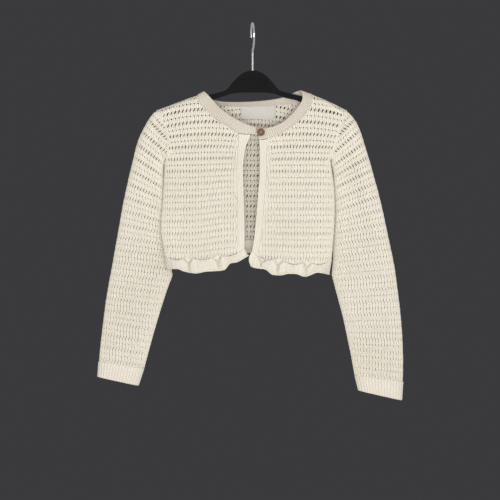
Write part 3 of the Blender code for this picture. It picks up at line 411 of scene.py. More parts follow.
print("one repeat of the stitch is", REPEAT, "mm tall, in", len(STITCH), "levels")

# %% [markdown]
# ## Laying the stitch on the cloth
# A flat pattern could be bent onto the garment with a modifier, but its edges would be hard to control. Here
# the cloth gets a chart instead: a grid with a row for each level of the stitch and four columns to a wale.
# The legs are then read from the chart, and a test says where there is cloth. A leg that leaves the cloth
# between two levels is cut back to the edge, so that seams are clean.

# %% Charts
def chart_of(points, outward):
    """The middle of the cloth as a grid, a row for each level. outward says roughly which way is out."""
    normals = unit(np.cross(np.gradient(points, axis=1), np.gradient(points, axis=0)))
    if np.sum(normals * outward) < 0:
        normals = -normals
    return {"points": points - normals * CLOTH_MIDDLE, "normals": normals}


def on_chart(chart, level, column):
    """Points and directions at a whole level and any part of a column."""
    low = np.clip(np.floor(column).astype(int), 0, chart["points"].shape[1] - 2)
    part = (column - low)[..., None]
    found = []
    for grid in (chart["points"], chart["normals"]):
        found.append(grid[level, low] * (1 - part) + grid[level, low + 1] * part)
    return found[0], unit(found[1])


def cloth_area(chart, inside):
    """Area in square metres of the chart's cells that are cloth."""
    cloth = chart["points"]
    levels, columns = cloth.shape[:2]
    shown = inside(cloth, np.arange(levels)[:, None], np.arange(columns)[None])
    area = np.linalg.norm(
        np.cross(cloth[1:, :-1] - cloth[:-1, :-1], cloth[:-1, 1:] - cloth[:-1, :-1]), axis=-1
    )
    return np.sum(area * shown[:-1, :-1]) * MM**2


END_HALVINGS, SHORTEST_END = 6, 0.12


def reach_edge(centres, shown, inside):
    """Moves the first ring past each end of a strand back to the cloth's edge and shows it."""
    rings = len(centres)
    moved = centres.copy()
    result = shown.copy()
    for step in (1, -1):
        here = np.zeros_like(shown)
        if step == 1:
            here[:-1] = shown[:-1] & ~shown[1:]
        else:
            here[1:] = shown[1:] & ~shown[:-1]
        ring, strand = np.nonzero(here)
        keep = ~result[np.clip(ring + step, 0, rings - 1), strand]
        ring, strand = ring[keep], strand[keep]
        start, end = centres[ring, strand], centres[ring + step, strand]
        low, high = np.zeros(len(ring)), np.ones(len(ring))
        for _ in range(END_HALVINGS):
            half = (low + high) / 2
            good = inside(start + (end - start) * half[:, None], ring + step * half, strand)
            low, high = np.where(good, half, low), np.where(good, high, half)
        wide = low > SHORTEST_END
        ring, strand, low = ring[wide], strand[wide], low[wide]
        start, end = centres[ring, strand], centres[ring + step, strand]
        moved[ring + step, strand] = start + (end - start) * low[:, None]
        result[ring + step, strand] = True
    return moved, result


print("the ends of strands are found to", 1 / 2**END_HALVINGS, "of a level")

# %% Legs
def opening_by_height(table):
    """How far slots and dots open at a place: 1 as in the stitch's table, 0 shut."""
    return lambda place: [np.interp(place[..., 2], table[:, 0], table[:, i]) for i in (1, 2)]


def hole_sizes(rows, leg, spots, opening):
    """How far each leg's hole opens at each level. The two legs beside a hole share its own variation."""
    hole = np.cumsum(rows == 0) * 2 + (rows > LAST_SLOT_ROW)
    beside = np.arange(len(leg)) // 2 + (leg > 0)
    own = chance.normal(1.0, HOLE_VARIATION, (hole.max() + 1, len(leg) // 2 + 1))
    own = np.clip(own, SMALLEST_HOLE, LARGEST_HOLE)[hole[:, None], beside]
    slots, dots = opening(spots)
    return np.where(np.isin(rows, DOT_ROWS)[:, None], dots, slots) * own


def knit_parts(chart, inside, rows, opening):
    """The legs of every wale, where inside says there is cloth. Rows are the levels' rows of the stitch."""
    levels, columns = chart["points"].shape[:2]
    wales = np.arange(1, columns // COLUMN_PARTS)
    swing, offset, wide, thick, lift = STITCH[rows, 1:].T[:, :, None]
    leg = np.tile([-1.0, 1.0], len(wales))
    wander = np.repeat(chance.normal(0, WALE_WANDER, (levels, len(wales))), 2, axis=1)
    middle = (np.repeat(wales, 2) + swing + wander) * COLUMN_PARTS
    level = np.broadcast_to(np.arange(levels)[:, None], middle.shape)
    size = hole_sizes(rows, leg, on_chart(chart, level, middle)[0], opening)
    offset = SHUT_OFFSET + (offset - SHUT_OFFSET) * size
    wide = SHUT_HALF_WIDTH + (wide - SHUT_HALF_WIDTH) * size
    column = middle + leg * offset * COLUMN_PARTS
    points, outward = on_chart(chart, level, column)
    gaps = np.linalg.norm(np.diff(chart["points"], axis=1), axis=-1)
    pitch = COLUMN_PARTS * np.median(gaps, axis=1)[:, None]
    centres = points + outward * (lift + LEG_LIFT * leg)[..., None]
    shown = inside(points, level, column)
    test = lambda place, ring, strand: inside(place, ring, column[np.round(ring).astype(int), strand])
    centres, shown = reach_edge(centres, shown, test)
    thick = np.broadcast_to(thick, column.shape)
    return [tubes(centres, outward, wide * pitch, thick, shown, LEG_SIDES)]


print("a hole's size varies by", HOLE_VARIATION, "of itself")

# %% [markdown]
# ## Edges and finished pieces
# A knitted edge has a strand of its own, which holds the loops. It is one lumpy tube along a line. Every
# piece is then handed over in the same way: it rides on the garment's one body and takes the place of its
# plain solid, which is hidden.

# %% Edges and finished pieces
STRAND_LUMPS, LUMP_SPACING = 0.16, 2.6


def within(outline, across, height):
    """Whether points lie inside a closed outline."""
    ends = np.roll(outline, -1, axis=0)
    inside = np.zeros(across.shape, bool)
    for (x0, z0), (x1, z1) in zip(outline, ends):
        if z0 == z1:
            continue
        crosses = (height < z0) != (height < z1)
        inside ^= crosses & (across < x0 + (height - z0) * (x1 - x0) / (z1 - z0))
    return inside


def travel(line):
    """How far each point lies along a line of straight pieces."""
    return np.concatenate([[0], np.cumsum(np.linalg.norm(np.diff(line, axis=0), axis=1))])


def evenly(line, spacing):
    """Points at even steps along a line of straight pieces."""
    lengths = travel(line)
    count = max(2, int(round(lengths[-1] / spacing)) + 1)
    at = np.linspace(0, lengths[-1], count)
    return np.stack([np.interp(at, lengths, line[:, i]) for i in range(line.shape[1])], axis=-1)


def edge_strand(line, outward, radius, spacing=LUMP_SPACING):
    """One strand along a seam or edge. Line and outward are matched arrays of points."""
    both = evenly(np.concatenate([line, outward], axis=1), spacing)
    centres, directions = both[:, None, :3], unit(both[:, None, 3:])
    count = len(centres)
    lumps = 1 + STRAND_LUMPS * np.cos(np.arange(count) * np.pi)[:, None]
    size = np.full((count, 1), radius) * lumps
    return tubes(centres, directions, size, size, np.ones((count, 1), bool), LEG_SIDES)


def finish_knit(name, parts, node, area):
    """Makes the piece, puts it in the node's place and hides the node's solid."""
    points, faces, places = join(parts)
    piece = make_mesh(name, points, faces, places)
    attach(piece, "root")
    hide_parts(*([node] if isinstance(node, str) else node))
    print(name, count_triangles(faces), "triangles")
    return piece


print("a plain strand swells every", LUMP_SPACING, "mm")

# %% [markdown]
# ## The two fronts
# The photograph shows about 25 wales on each front. They stand closer below and fan out over the chest,
# where the shoulders stretch the cloth, and the rows arch there by a few millimetres. So the pitch of the
# wales is a short table by height, measured along the rounded surface from the middle of the panel. Lower
# down, the rows rise a little towards the front edge, because each front hangs from its shoulder and its
# band is shorter than the knit. Close to the band the holes are shut.

# %% Tables of the fronts
WALE_PITCH = np.array([
    # height, pitch
    (-372.0, 4.6), (-250.0, 4.65), (-217.0, 4.8), (-197.0, 5.1), (-178.0, 5.6), (-158.0, 6.0), (-110.0, 6.2),
])
ARCH_AT, MOST_ARCH = 60.0, 14.0
ROW_ARCH = np.array([
    # height, drop at ARCH_AT from the arch's crown
    (-372.0, 0.0), (-235.0, 0.0), (-200.0, 2.5), (-160.0, 6.5), (-110.0, 7.5),
])
FRONT_CROWN = {"left": -72.0, "right": 76.0}
PANEL_MIDDLE = {"left": -84.0, "right": 78.0}
FRONT_HALF_WIDTH = 96.0
PUCKERS = {
    # across, height
    "left": np.array([(-139.8, -372.0), (-103.0, -373.0), (-56.0, -370.5), (-13.4, -360.5)]),
    "right": np.array([(-1.3, -364.0), (42.0, -375.0), (86.0, -379.0), (126.4, -377.0)]),
}
LOBE_DIP = {"left": 5.0, "right": 7.0}
LOWEST_LEVEL, HIGHEST_LEVEL = -388.0, -104.0
FRONT_SLOTS_AT = -217.4
ROW_RISE = {
    # height, rise at the front edge
    "left": np.array([
        (-372.0, 8.0), (-330.0, 8.0), (-290.0, 6.5), (-250.0, 4.0), (-220.0, 2.0), (-190.0, 0.0),
    ]),
    "right": np.array([(-372.0, 3.0), (-300.0, 0.0)]),
}
RISE_STARTS = {"left": -105.0, "right": 80.0}
RISE_LENGTH = 80.0
FRONT_OPENING = np.array([
    # height, slots, dots
    (-372.0, 0.42, 0.62), (-260.0, 0.48, 0.7), (-200.0, 0.85, 1.0), (-160.0, 1.05, 1.15),
])
SHUT_STRIP, SHUT_FADE = 3.0, 3.5

print("a front's wales are", WALE_PITCH[0, 1], "mm wide at the hem,", WALE_PITCH[-1, 1], "at the shoulder")

# %% Lines of the fronts
def hem_lobe(side, across):
    """0 at each pucker, 1 midway between two."""
    table = PUCKERS[side]
    return np.abs(np.sin(np.pi * np.interp(across, table[:, 0], np.arange(len(table)))))


def front_hem(side, across):
    """Height of the seam between a front and its ruffle."""
    table = PUCKERS[side]
    line = smooth(table[:, 0], table[:, 1], across)
    return line - LOBE_DIP[side] * hem_lobe(side, across)


def neck_line(stations, column=0):
    """The neckband's seam, or with column 2 its free edge, at any part of a row."""
    index = np.arange(len(NECKBAND))
    across = smooth(index, NECKBAND[:, column], stations)
    return np.stack([across, smooth(index, NECKBAND[:, column + 1], stations)], axis=-1)


def front_rise(side):
    """The rows of a front rise a little towards its front edge."""
    table, start = ROW_RISE[side], RISE_STARTS[side]
    return lambda across, height: (
        np.interp(height, table[:, 0], table[:, 1]) * easing(INWARD[side] * (across - start) / RISE_LENGTH)
    )


def front_opening(side):
    """Holes by height, shut in a narrow strip beside the front band."""
    by_height = opening_by_height(FRONT_OPENING)

    def opening(place):
        from_seam = (band_seam(side, place[..., 2]) - place[..., 0]) * INWARD[side]
        fade = easing((from_seam - SHUT_STRIP) / SHUT_FADE)
        return [value * fade for value in by_height(place)]

    return opening


for side in SIDES:
    seam_ends = front_hem(side, np.array([side_edge(side, HEM_LEVEL), front_edge(side, HEM_LEVEL)]))
    print("the", side, "front's hem runs from", seam_ends.round(1), "mm, side fold to front edge")

# %% [markdown]
# ## A chart of the body
# The body is rounded, so columns at even steps across the picture would crowd at its sides. The chart steps
# evenly along the surface instead, from the middle of the panel out. Past the side fold it goes straight
# on, away from the front, and the fold's own place is kept, so that no strand runs past it.

# %% Charts of the body
SURFACE_STEPS = 500
FOLD_MARGIN = 0.3


def body_chart(face, middle, half_width, crown, pitches, slots_at, repeat, rise):
    """Levels up the body, with columns at even steps of a wale along the rounded surface."""
    heights, stitch_rows = stitch_levels(LOWEST_LEVEL, HIGHEST_LEVEL, slots_at, repeat)
    columns = int(half_width / pitches[0, 1]) * COLUMN_PARTS
    offsets = np.arange(-columns, columns + 1) / COLUMN_PARTS
    rows, ends_at = [], []
    for height in heights:
        ends = side_edge("left", height), side_edge("right", height)
        turn = np.linspace(0, np.pi, SURFACE_STEPS)
        across = ends[0] + (ends[1] - ends[0]) * (1 - np.cos(turn)) / 2
        depth = body_depth(face, across, np.full(across.shape, height))
        reach = np.concatenate([[0], np.cumsum(np.hypot(np.diff(across), np.diff(depth)))])
        reach -= np.interp(middle, across, reach)
        pitch = np.interp(height, pitches[:, 0], pitches[:, 1])
        wanted = offsets * pitch
        over = np.maximum(wanted - reach[-1], 0) + np.maximum(reach[0] - wanted, 0)
        x = np.interp(wanted, reach, across)
        arch = np.interp(height, ROW_ARCH[:, 0], ROW_ARCH[:, 1]) * ((x - crown) / ARCH_AT) ** 2
        z = height - np.minimum(arch, MOST_ARCH) + rise(x, height)
        y = body_depth(face, x, z) - face * over
        rows.append(np.stack([x, y, z], axis=-1))
        ends_at.append(columns + reach[[0, -1]] / pitch * COLUMN_PARTS)
    return chart_of(np.stack(rows), (0, face, 0)), np.array(ends_at), stitch_rows


def in_panel(outline, ends_at):
    """Whether a place on the chart is cloth: inside the outline, and on this face of the side folds."""
    index = np.arange(len(ends_at))

    def inside(place, level, column):
        level = np.asarray(level, float)
        left, right = (np.interp(level, index, ends_at[:, i]) for i in (0, 1))
        on_face = (column > left + FOLD_MARGIN) & (column < right - FOLD_MARGIN)
        return within(outline, place[..., 0], place[..., 2]) & on_face

    return inside


print("the body's chart steps along", SURFACE_STEPS, "points at each level")

# %% Edges of the panels
SEAM_INSET, SEAM_RADIUS = 0.7, 0.75
HEM_INSET, HEM_POINTS = 0.25, 40
# Parts of the seam's inset across and down at the neck, down at the shoulder and across at the side.
NECK_SHARE, TOP_SHARE, SIDE_SHARE = 0.7, 0.5, 0.35
NECK_POINTS, TOP_POINTS, SIDE_POINTS = 24, 12, 40
OUTLINE_STEP, FOLD_CLEARANCE = 2.0, 5.0
UNDERARM_ABOVE, UNDERARM_BELOW, UNDERARM_INSETS = 12.0, 26.0, (0.8, 2.2, 3.6)


def front_outline(side, inset):
    """The panel's edge as seen from the front, drawn in by the seam."""
    inner = INWARD[side]
    neck = neck_line(np.linspace(*NECK_ROWS[side], NECK_POINTS))
    heights = np.linspace(FRONT_EDGES[0, 0], neck[0, 1], NECK_POINTS)
    seam = np.stack([band_seam(side, heights), heights], axis=-1)
    hem_across = np.linspace(side_edge(side, HEM_LEVEL), seam[0, 0], HEM_POINTS)
    hem = np.stack([hem_across, front_hem(side, hem_across)], axis=-1)
    seam = seam[seam[:, 1] > hem[-1, 1]]
    top_across = np.linspace(neck[-1, 0], side_edge(side, TIP_HEIGHT), TOP_POINTS)
    top = np.stack([top_across, shoulder_height(top_across)], axis=-1)
    side_heights = np.linspace(TIP_HEIGHT, hem[0, 1], SIDE_POINTS)
    edge = np.stack([side_edge(side, side_heights), side_heights], axis=-1)
    hem[:, 1] += HEM_INSET
    seam[:, 0] -= inner * inset
    neck[:, 0] -= inner * inset * NECK_SHARE
    neck[:, 1] -= inset * NECK_SHARE
    top[:, 1] -= inset * TOP_SHARE
    edge[:, 0] += inner * inset * SIDE_SHARE
    return np.concatenate([hem, seam[1:], neck[1:], top[1:], edge[1:-1]])


def body_directions(face, line):
    """Outward directions at points of the body, by small steps over the surface."""
    x, z = line[:, 0], line[:, 1]
    step = 0.6
    across = on_body(face, x + step, z) - on_body(face, x - step, z)
    up = on_body(face, x, z + step) - on_body(face, x, z - step)
    directions = unit(np.cross(across, up))
    return directions * np.where(directions[:, 1:2] * face < 0, -1.0, 1.0)


def outline_strand(face, outline):
    """One strand along a panel's edge, all but its hem and its side below the armhole."""
    line = outline[HEM_POINTS - 1:]
    across, height = line.T
    inside = np.minimum(across - side_edge("left", height), side_edge("right", height) - across)
    line = evenly(line[(inside > FOLD_CLEARANCE) | (height > UNDERARM_HEIGHT)], OUTLINE_STEP)
    directions = body_directions(face, line)
    points = on_body(face, line[:, 0], line[:, 1]) - directions * CLOTH_MIDDLE
    return edge_strand(points, directions, SEAM_RADIUS)


def underarm_stitches(face, side):
    """Short strands side by side that close the cloth where side seam and armhole meet."""
    heights = np.linspace(UNDERARM_HEIGHT + UNDERARM_ABOVE, UNDERARM_HEIGHT - UNDERARM_BELOW, 16)
    strands = []
    for inset in UNDERARM_INSETS:
        line = on_body(face, side_edge(side, heights) + INWARD[side] * inset, heights)
        directions = body_directions(face, line[:, [0, 2]])
        strands.append(edge_strand(line - directions * CLOTH_MIDDLE, directions, SEAM_RADIUS))
    return strands


print("a panel's edge is drawn in by", SEAM_INSET, "mm at its seams")

# %% Fronts
def knit_front(side):
    chart, ends_at, rows = body_chart(
        FRONT, PANEL_MIDDLE[side], FRONT_HALF_WIDTH, FRONT_CROWN[side], WALE_PITCH, FRONT_SLOTS_AT, REPEAT,
        front_rise(side),
    )
    outline = front_outline(side, SEAM_INSET)
    inside = in_panel(outline, ends_at)
    parts = knit_parts(chart, inside, rows, front_opening(side))
    parts.append(outline_strand(FRONT, outline))
    parts += underarm_stitches(FRONT, side)
    return finish_knit(f"front_{side}_knit", parts, f"front_{side}", cloth_area(chart, inside))


front_knits = [knit_front(side) for side in SIDES]

# %% [markdown]
# ## The back
# The back is the same stitch in one panel. There the wales stand wider, the rows closer and the holes open
# all the way. It is seen through the open front and over the neckband, where its holes show the dark behind
# it, so it is knitted as fully as the fronts. Front and back are sewn together just inside the side folds.

# %% Tables of the back
BACK_MIDDLE = -6.0
BACK_HALF_WIDTH = 172.0
BACK_PITCH = np.array([(-388.0, 5.6), (-250.0, 5.7), (-180.0, 5.8), (-104.0, 6.1)])
BACK_REPEAT = 16.4
BACK_SLOTS_AT = -210.0
BACK_HEM = np.array([
    # across, seam height, frill's lower edge
    (-139.8, -372.0, -394.0), (-100.0, -365.0, -388.0), (-55.0, -353.0, -375.0),
    (-5.0, -346.0, -367.0), (45.0, -354.0, -376.0), (90.0, -368.0, -391.0),
    (126.4, -377.0, -402.0),
])
BACK_OPENING = np.array([
    # height, slots, dots
    (-388.0, 0.95, 1.45), (-104.0, 0.95, 1.45),
])
BACK_NECK_POINTS = 60
SIDE_SEAM_INSET, SIDE_SEAM_RADIUS = 1.3, 1.1

print("the back's rows repeat every", BACK_REPEAT, "mm")

# %% Back
def shoulder_top(start, end, inset):
    across = np.linspace(start, end, TOP_POINTS)[1:]
    return np.stack([across, shoulder_height(across) - inset * TOP_SHARE], axis=-1)


def side_line(side, heights, inset):
    return np.stack([side_edge(side, heights) + INWARD[side] * inset * SIDE_SHARE, heights], axis=-1)


def back_outline(inset):
    """The back's edge as seen from the front, drawn in by the seam."""
    hem_ends = [side_edge(side, HEM_HEIGHT[side]) for side in SIDES]
    across = np.linspace(*hem_ends, HEM_POINTS)
    hem = np.stack([across, smooth(BACK_HEM[:, 0], BACK_HEM[:, 1], across) + HEM_INSET], axis=-1)
    right = side_line("right", np.linspace(HEM_HEIGHT["right"], TIP_HEIGHT, SIDE_POINTS)[1:], inset)
    neck_rows = np.linspace(NECK_ROWS["right"][1], NECK_ROWS["left"][1], BACK_NECK_POINTS)
    neck = neck_line(neck_rows) - (0.0, inset)
    right_top = shoulder_top(side_edge("right", TIP_HEIGHT), neck[0, 0], inset)
    left_top = shoulder_top(neck[-1, 0], side_edge("left", TIP_HEIGHT), inset)
    left = side_line("left", np.linspace(TIP_HEIGHT, HEM_HEIGHT["left"], SIDE_POINTS)[1:-1], inset)
    return np.concatenate([hem, right, right_top, neck, left_top, left])


def side_seam(side):
    """One strand down the inside of the fold, where front and back are sewn together."""
    heights = np.linspace(UNDERARM_HEIGHT, HEM_LEVEL, 60)
    line = on_body(FRONT, side_edge(side, heights), heights) + (INWARD[side] * SIDE_SEAM_INSET, 0, 0)
    return edge_strand(line, line * 0 + (-INWARD[side], 0, 0), SIDE_SEAM_RADIUS)


back_edge = back_outline(SEAM_INSET)
back_chart, back_ends, back_rows = body_chart(
    BACK, BACK_MIDDLE, BACK_HALF_WIDTH, BACK_MIDDLE, BACK_PITCH, BACK_SLOTS_AT, BACK_REPEAT,
    lambda across, height: 0.0,
)
in_back = in_panel(back_edge, back_ends)
back_parts = knit_parts(back_chart, in_back, back_rows, opening_by_height(BACK_OPENING))
back_parts.append(outline_strand(BACK, back_edge))
for side in SIDES:
    back_parts.append(side_seam(side))
    back_parts += underarm_stitches(BACK, side)
back_knit = finish_knit("back_knit", back_parts, "back", cloth_area(back_chart, in_back))

# %% [markdown]
# ## Sleeves
# Each sleeve is a tube that was set in at the armhole. Its rows lie across the arm and tilt with it, and
# its wales run down from the shoulder, side by side with the outer fold, until they end at the seam under
# the arm. The frame's rings give the depth of the tube at any point. The rows above the underarm are
# drawn parallel to the ones below and cut off at the armhole, as a knitted sleeve head is.

# %% Tables of the sleeves
SLEEVE_ROUND = 20.0
SLEEVE_SLOTS_AT = 4.0
SLEEVE_HALF_WIDTH = 122.0
SLEEVE_FOLD_MARGIN = 0.1
SLEEVE_SEAM_INSET, SLEEVE_SEAM_RADIUS = 0.5, 0.9
SLEEVE_STEPS = 160
RING_HALVINGS = 22
SLEEVES = {
    # outer across, outer height, inner across, inner height, half depth, middle
    "left": np.array([
        (-159.2, -144.2, -141.4, -221.9, 13.5, 0.2),
        (-165.6, -152.2, -142.2, -224.2, 15.0, 0.5), (-175.4, -169.4, -142.6, -228.6, 15.5, 1.5),
        (-182.8, -185.2, -142.8, -232.4, 15.5, 2.5), (-188.0, -202.4, -142.8, -237.0, 15.5, 4.0),
        (-193.2, -224.0, -142.6, -253.6, 15.5, 5.5), (-198.4, -245.0, -142.6, -272.8, 15.0, 7.0),
        (-203.4, -267.0, -143.2, -290.4, 14.5, 9.0), (-208.2, -288.8, -144.4, -309.0, 14.0, 11.0),
        (-212.8, -314.0, -144.6, -330.0, 14.0, 13.0), (-217.8, -342.0, -141.0, -354.0, 14.0, 15.0),
        (-222.6, -368.0, -134.0, -380.0, 14.0, 16.5), (-226.4, -389.5, -129.0, -402.4, 13.5, 17.0),
        (-231.0, -414.0, -138.2, -427.4, 13.0, 16.0), (-236.0, -444.0, -147.4, -456.0, 12.5, 14.5),
        (-240.4, -480.0, -158.4, -493.0, 12.0, 13.0), (-244.2, -513.0, -167.4, -526.0, 11.0, 12.0),
        (-246.7, -540.8, -174.2, -551.8, 10.5, 11.0),
    ]),
    "right": np.array([
        (158.0, -147.0, 125.9, -222.2, 13.5, 0.2),
        (164.9, -156.0, 126.2, -224.8, 15.0, 0.5), (171.9, -170.4, 127.4, -229.0, 15.5, 1.0),
        (176.7, -185.0, 128.2, -233.0, 15.5, 1.5), (181.6, -201.0, 129.4, -238.0, 15.5, 2.0),
        (188.9, -224.5, 130.2, -254.0, 15.5, 3.0), (194.2, -244.0, 131.7, -273.0, 15.0, 4.0),
        (200.4, -266.0, 132.4, -292.0, 14.5, 4.5), (206.3, -289.5, 132.1, -312.0, 14.0, 5.0),
        (212.6, -318.0, 131.0, -334.0, 14.0, 5.5), (218.5, -346.0, 129.3, -358.0, 14.0, 6.0),
        (223.7, -370.0, 128.8, -382.0, 14.0, 6.0), (227.9, -392.0, 127.0, -402.0, 13.5, 6.0),
        (232.2, -424.0, 134.7, -431.2, 13.0, 5.5), (237.0, -464.0, 144.6, -468.0, 12.5, 5.0),
        (239.8, -500.0, 151.0, -498.0, 12.0, 4.5), (241.1, -538.0, 157.6, -530.0, 11.0, 4.0),
        (240.6, -572.6, 163.5, -562.9, 10.5, 4.0),
    ]),
}
# The rows of the sleeve head, parallel to the row below the underarm. They replace the first rings.
HEAD_RINGS = 5
HEAD_ROWS = {
    # outer across, outer height, inner across, inner height
    "left": np.array([
        (-143.0, -129.0, -118.0, -157.0), (-152.3, -139.0, -121.0, -174.0),
        (-159.2, -144.2, -126.0, -181.0), (-165.6, -152.2, -131.0, -189.5),
        (-175.4, -169.4, -134.5, -205.0), (-182.8, -185.2, -138.5, -220.0),
        (-188.0, -202.4, -142.8, -234.5),
    ]),
    "right": np.array([
        (140.0, -129.5, 112.0, -157.0), (149.3, -139.0, 116.0, -171.0),
        (158.0, -147.0, 121.0, -182.0), (164.9, -156.0, 126.0, -192.0),
        (171.9, -170.4, 125.0, -210.5), (176.7, -185.0, 125.4, -224.0),
        (181.6, -201.0, 128.6, -236.5),
    ]),
}
SLEEVE_TROUGHS = {
    # middle, half width, top ring, bottom ring, depth
    "left": (0.78, 0.16, 4, 10, 3.0),
    "right": (0.4, 0.18, 3, 11, 3.5),
}
SLEEVE_PITCH = np.array([
    # height, pitch
    (-572.0, 4.75), (-300.0, 4.85), (-240.0, 4.9), (-200.0, 5.2), (-150.0, 5.6),
])
SLEEVE_OPENING = np.array([
    # height, slots, dots
    (-560.0, 0.25, 0.42), (-400.0, 0.3, 0.5), (-300.0, 0.42, 0.62), (-200.0, 0.8, 0.9), (-150.0, 1.0, 1.1),
])

for side in SIDES:
    widest = np.hypot(*(SLEEVES[side][:, :2] - SLEEVES[side][:, 2:4]).T).max()
    print("the", side, "sleeve lies", round(widest), "mm wide at its widest")

# %% [markdown]
# ## The sleeve's surface
# Each ring of the frame is a flat oval between the outer fold and the seam under the arm. To find the depth
# at a point, its ring is found first: by halving, because the rings tilt and no formula gives it. One long
# soft trough runs down each sleeve, where the empty cloth gives way. Above the underarm the sleeve's form
# runs over into the body's.

# %% The sleeve's surface
def sleeve_depth(side, face, across, height):
    """Y of the sleeve's outer face at a point seen from the front or back."""
    table = SLEEVES[side]
    chord = (side_edge(side, TIP_HEIGHT), TIP_HEIGHT, side_edge(side, UNDERARM_HEIGHT), UNDERARM_HEIGHT)
    rows = np.concatenate([[(*chord, 0, 0)], table])
    index = np.arange(len(rows), dtype=float)

    def line_at(ring):
        return [np.interp(ring, index, rows[:, i]) for i in range(4)]

    def beyond(ring):
        x0, z0, x1, z1 = line_at(ring)
        turn = (x1 - x0) * (height - z0) - (z1 - z0) * (across - x0)
        return turn < 0 if side == "left" else turn > 0

    low, high = np.zeros(across.shape), np.full(across.shape, index[-1])
    for _ in range(RING_HALVINGS):
        half = (low + high) / 2
        lower = beyond(half)
        low, high = np.where(lower, half, low), np.where(lower, high, half)
    ring = (low + high) / 2
    x0, z0, x1, z1 = line_at(ring)
    length = np.hypot(x1 - x0, z1 - z0)
    share = ((across - x0) * (x1 - x0) + (height - z0) * (z1 - z0)) / length**2
    share = np.clip(share, 0, 1)
    round_share = closing(np.minimum(share, 1 - share) * length, SLEEVE_ROUND)
    half_depth = np.interp(ring, index[1:], table[:, 4])
    middle = np.interp(ring, index[1:], table[:, 5])
    tube = middle + face * half_depth * round_share
    centre, half_width, top, bottom, depth = SLEEVE_TROUGHS[side]
    if face == FRONT:
        along = np.clip((ring - 1 - top) / (bottom - top), 0, 1)
        tube = tube + depth * np.sin(np.pi * along) * np.exp(-(((share - centre) / half_width) ** 2))
    arm_height = TIP_HEIGHT - share * (TIP_HEIGHT - UNDERARM_HEIGHT)
    armhole = body_depth(face, side_edge(side, arm_height), arm_height)
    blend = np.clip(ring, 0, 1)
    return armhole * (1 - blend) + tube * blend


def sleeve_rows(side):
    """Outer and inner ends of a line for every level, from the cuff up."""
    lines = np.concatenate([HEAD_ROWS[side], SLEEVES[side][HEAD_RINGS:, :4]])[::-1]
    reach = travel((lines[:, :2] + lines[:, 2:]) / 2)
    at, stitch_rows = stitch_levels(0, reach[-1], SLEEVE_SLOTS_AT)
    return np.stack([smooth(reach, lines[:, i], at) for i in range(4)], axis=-1), stitch_rows


elbow = sleeve_depth("left", FRONT, np.array([-185.0]), np.array([-350.0]))
print("the left sleeve's front lies at y", elbow.round(1), "mm near the elbow")

# %% Charts of the sleeves
def sleeve_chart(side):
    """Levels up the sleeve. Columns count from the outer fold, to the front and to the back."""
    wales = int(SLEEVE_HALF_WIDTH / SLEEVE_PITCH[0, 1]) + 2
    offsets = np.arange(-wales * COLUMN_PARTS, wales * COLUMN_PARTS + 1) / COLUMN_PARTS
    rows, halves = [], []
    ends, stitch_rows = sleeve_rows(side)
    for x0, z0, x1, z1 in ends:
        share = (1 - np.cos(np.linspace(0, np.pi, SLEEVE_STEPS))) / 2
        across, height = x0 + share * (x1 - x0), z0 + share * (z1 - z0)
        reach, depth = {}, {}
        for face in (FRONT, BACK):
            depth[face] = sleeve_depth(side, face, across, height)
            steps = np.sqrt(np.diff(across) ** 2 + np.diff(height) ** 2 + np.diff(depth[face]) ** 2)
            reach[face] = np.concatenate([[0], np.cumsum(steps)])
        half = (reach[FRONT][-1], reach[BACK][-1])
        pitch = np.interp((z0 + z1) / 2, SLEEVE_PITCH[:, 0], SLEEVE_PITCH[:, 1])
        wanted = offsets * pitch
        wanted = np.where(wanted > half[0], half[0] + np.minimum(wanted - half[0], half[1]), wanted)
        to_front = (wanted >= 0) & (wanted <= half[0])
        from_fold = np.where(wanted < 0, -wanted, half[0] + half[1] - wanted)
        wrapped = from_fold > half[1]
        from_fold = np.where(wrapped, half[0] + half[1] - from_fold, from_fold)
        front_share = np.interp(np.where(wrapped, from_fold, wanted), reach[FRONT], share)
        back_share = np.interp(from_fold, reach[BACK], share)
        front_side = to_front | wrapped
        found = np.where(front_side, front_share, back_share)
        x, z = x0 + found * (x1 - x0), z0 + found * (z1 - z0)
        y = np.where(
            front_side,
            np.interp(found, share, depth[FRONT]),
            np.interp(found, share, depth[BACK]),
        )
        rows.append(np.stack([x, y, z], axis=-1))
        halves.append((half[1] / pitch, half[0] / pitch))
    points = np.stack(rows)
    chart = chart_of(points, points - points.mean(axis=1, keepdims=True))
    return chart, np.array(halves), wales, stitch_rows


print("a sleeve's chart steps along", SLEEVE_STEPS, "points on each face")

# %% Sleeves
def knit_sleeve(side):
    chart, halves, wales, rows = sleeve_chart(side)

    def inside(place, level, column):
        level = np.asarray(level, float)
        wale = np.asarray(column, float) / COLUMN_PARTS - wales
        index = np.arange(len(halves))
        back = np.interp(level, index, halves[:, 0])
        front = np.interp(level, index, halves[:, 1])
        around = (wale <= front - SLEEVE_FOLD_MARGIN) & (wale >= SLEEVE_FOLD_MARGIN - back)
        from_body = (side_edge(side, place[..., 2]) - place[..., 0]) * INWARD[side]
        armhole = (from_body > SEAM_INSET) & (place[..., 2] < TIP_HEIGHT)
        return around & (armhole | (place[..., 2] < UNDERARM_HEIGHT))

    parts = knit_parts(chart, inside, rows, opening_by_height(SLEEVE_OPENING)) + sleeve_edges(side)
    nodes = (f"sleeve_{side}", f"forearm_{side}")
    return finish_knit(f"sleeve_{side}_knit", parts, nodes, cloth_area(chart, inside))


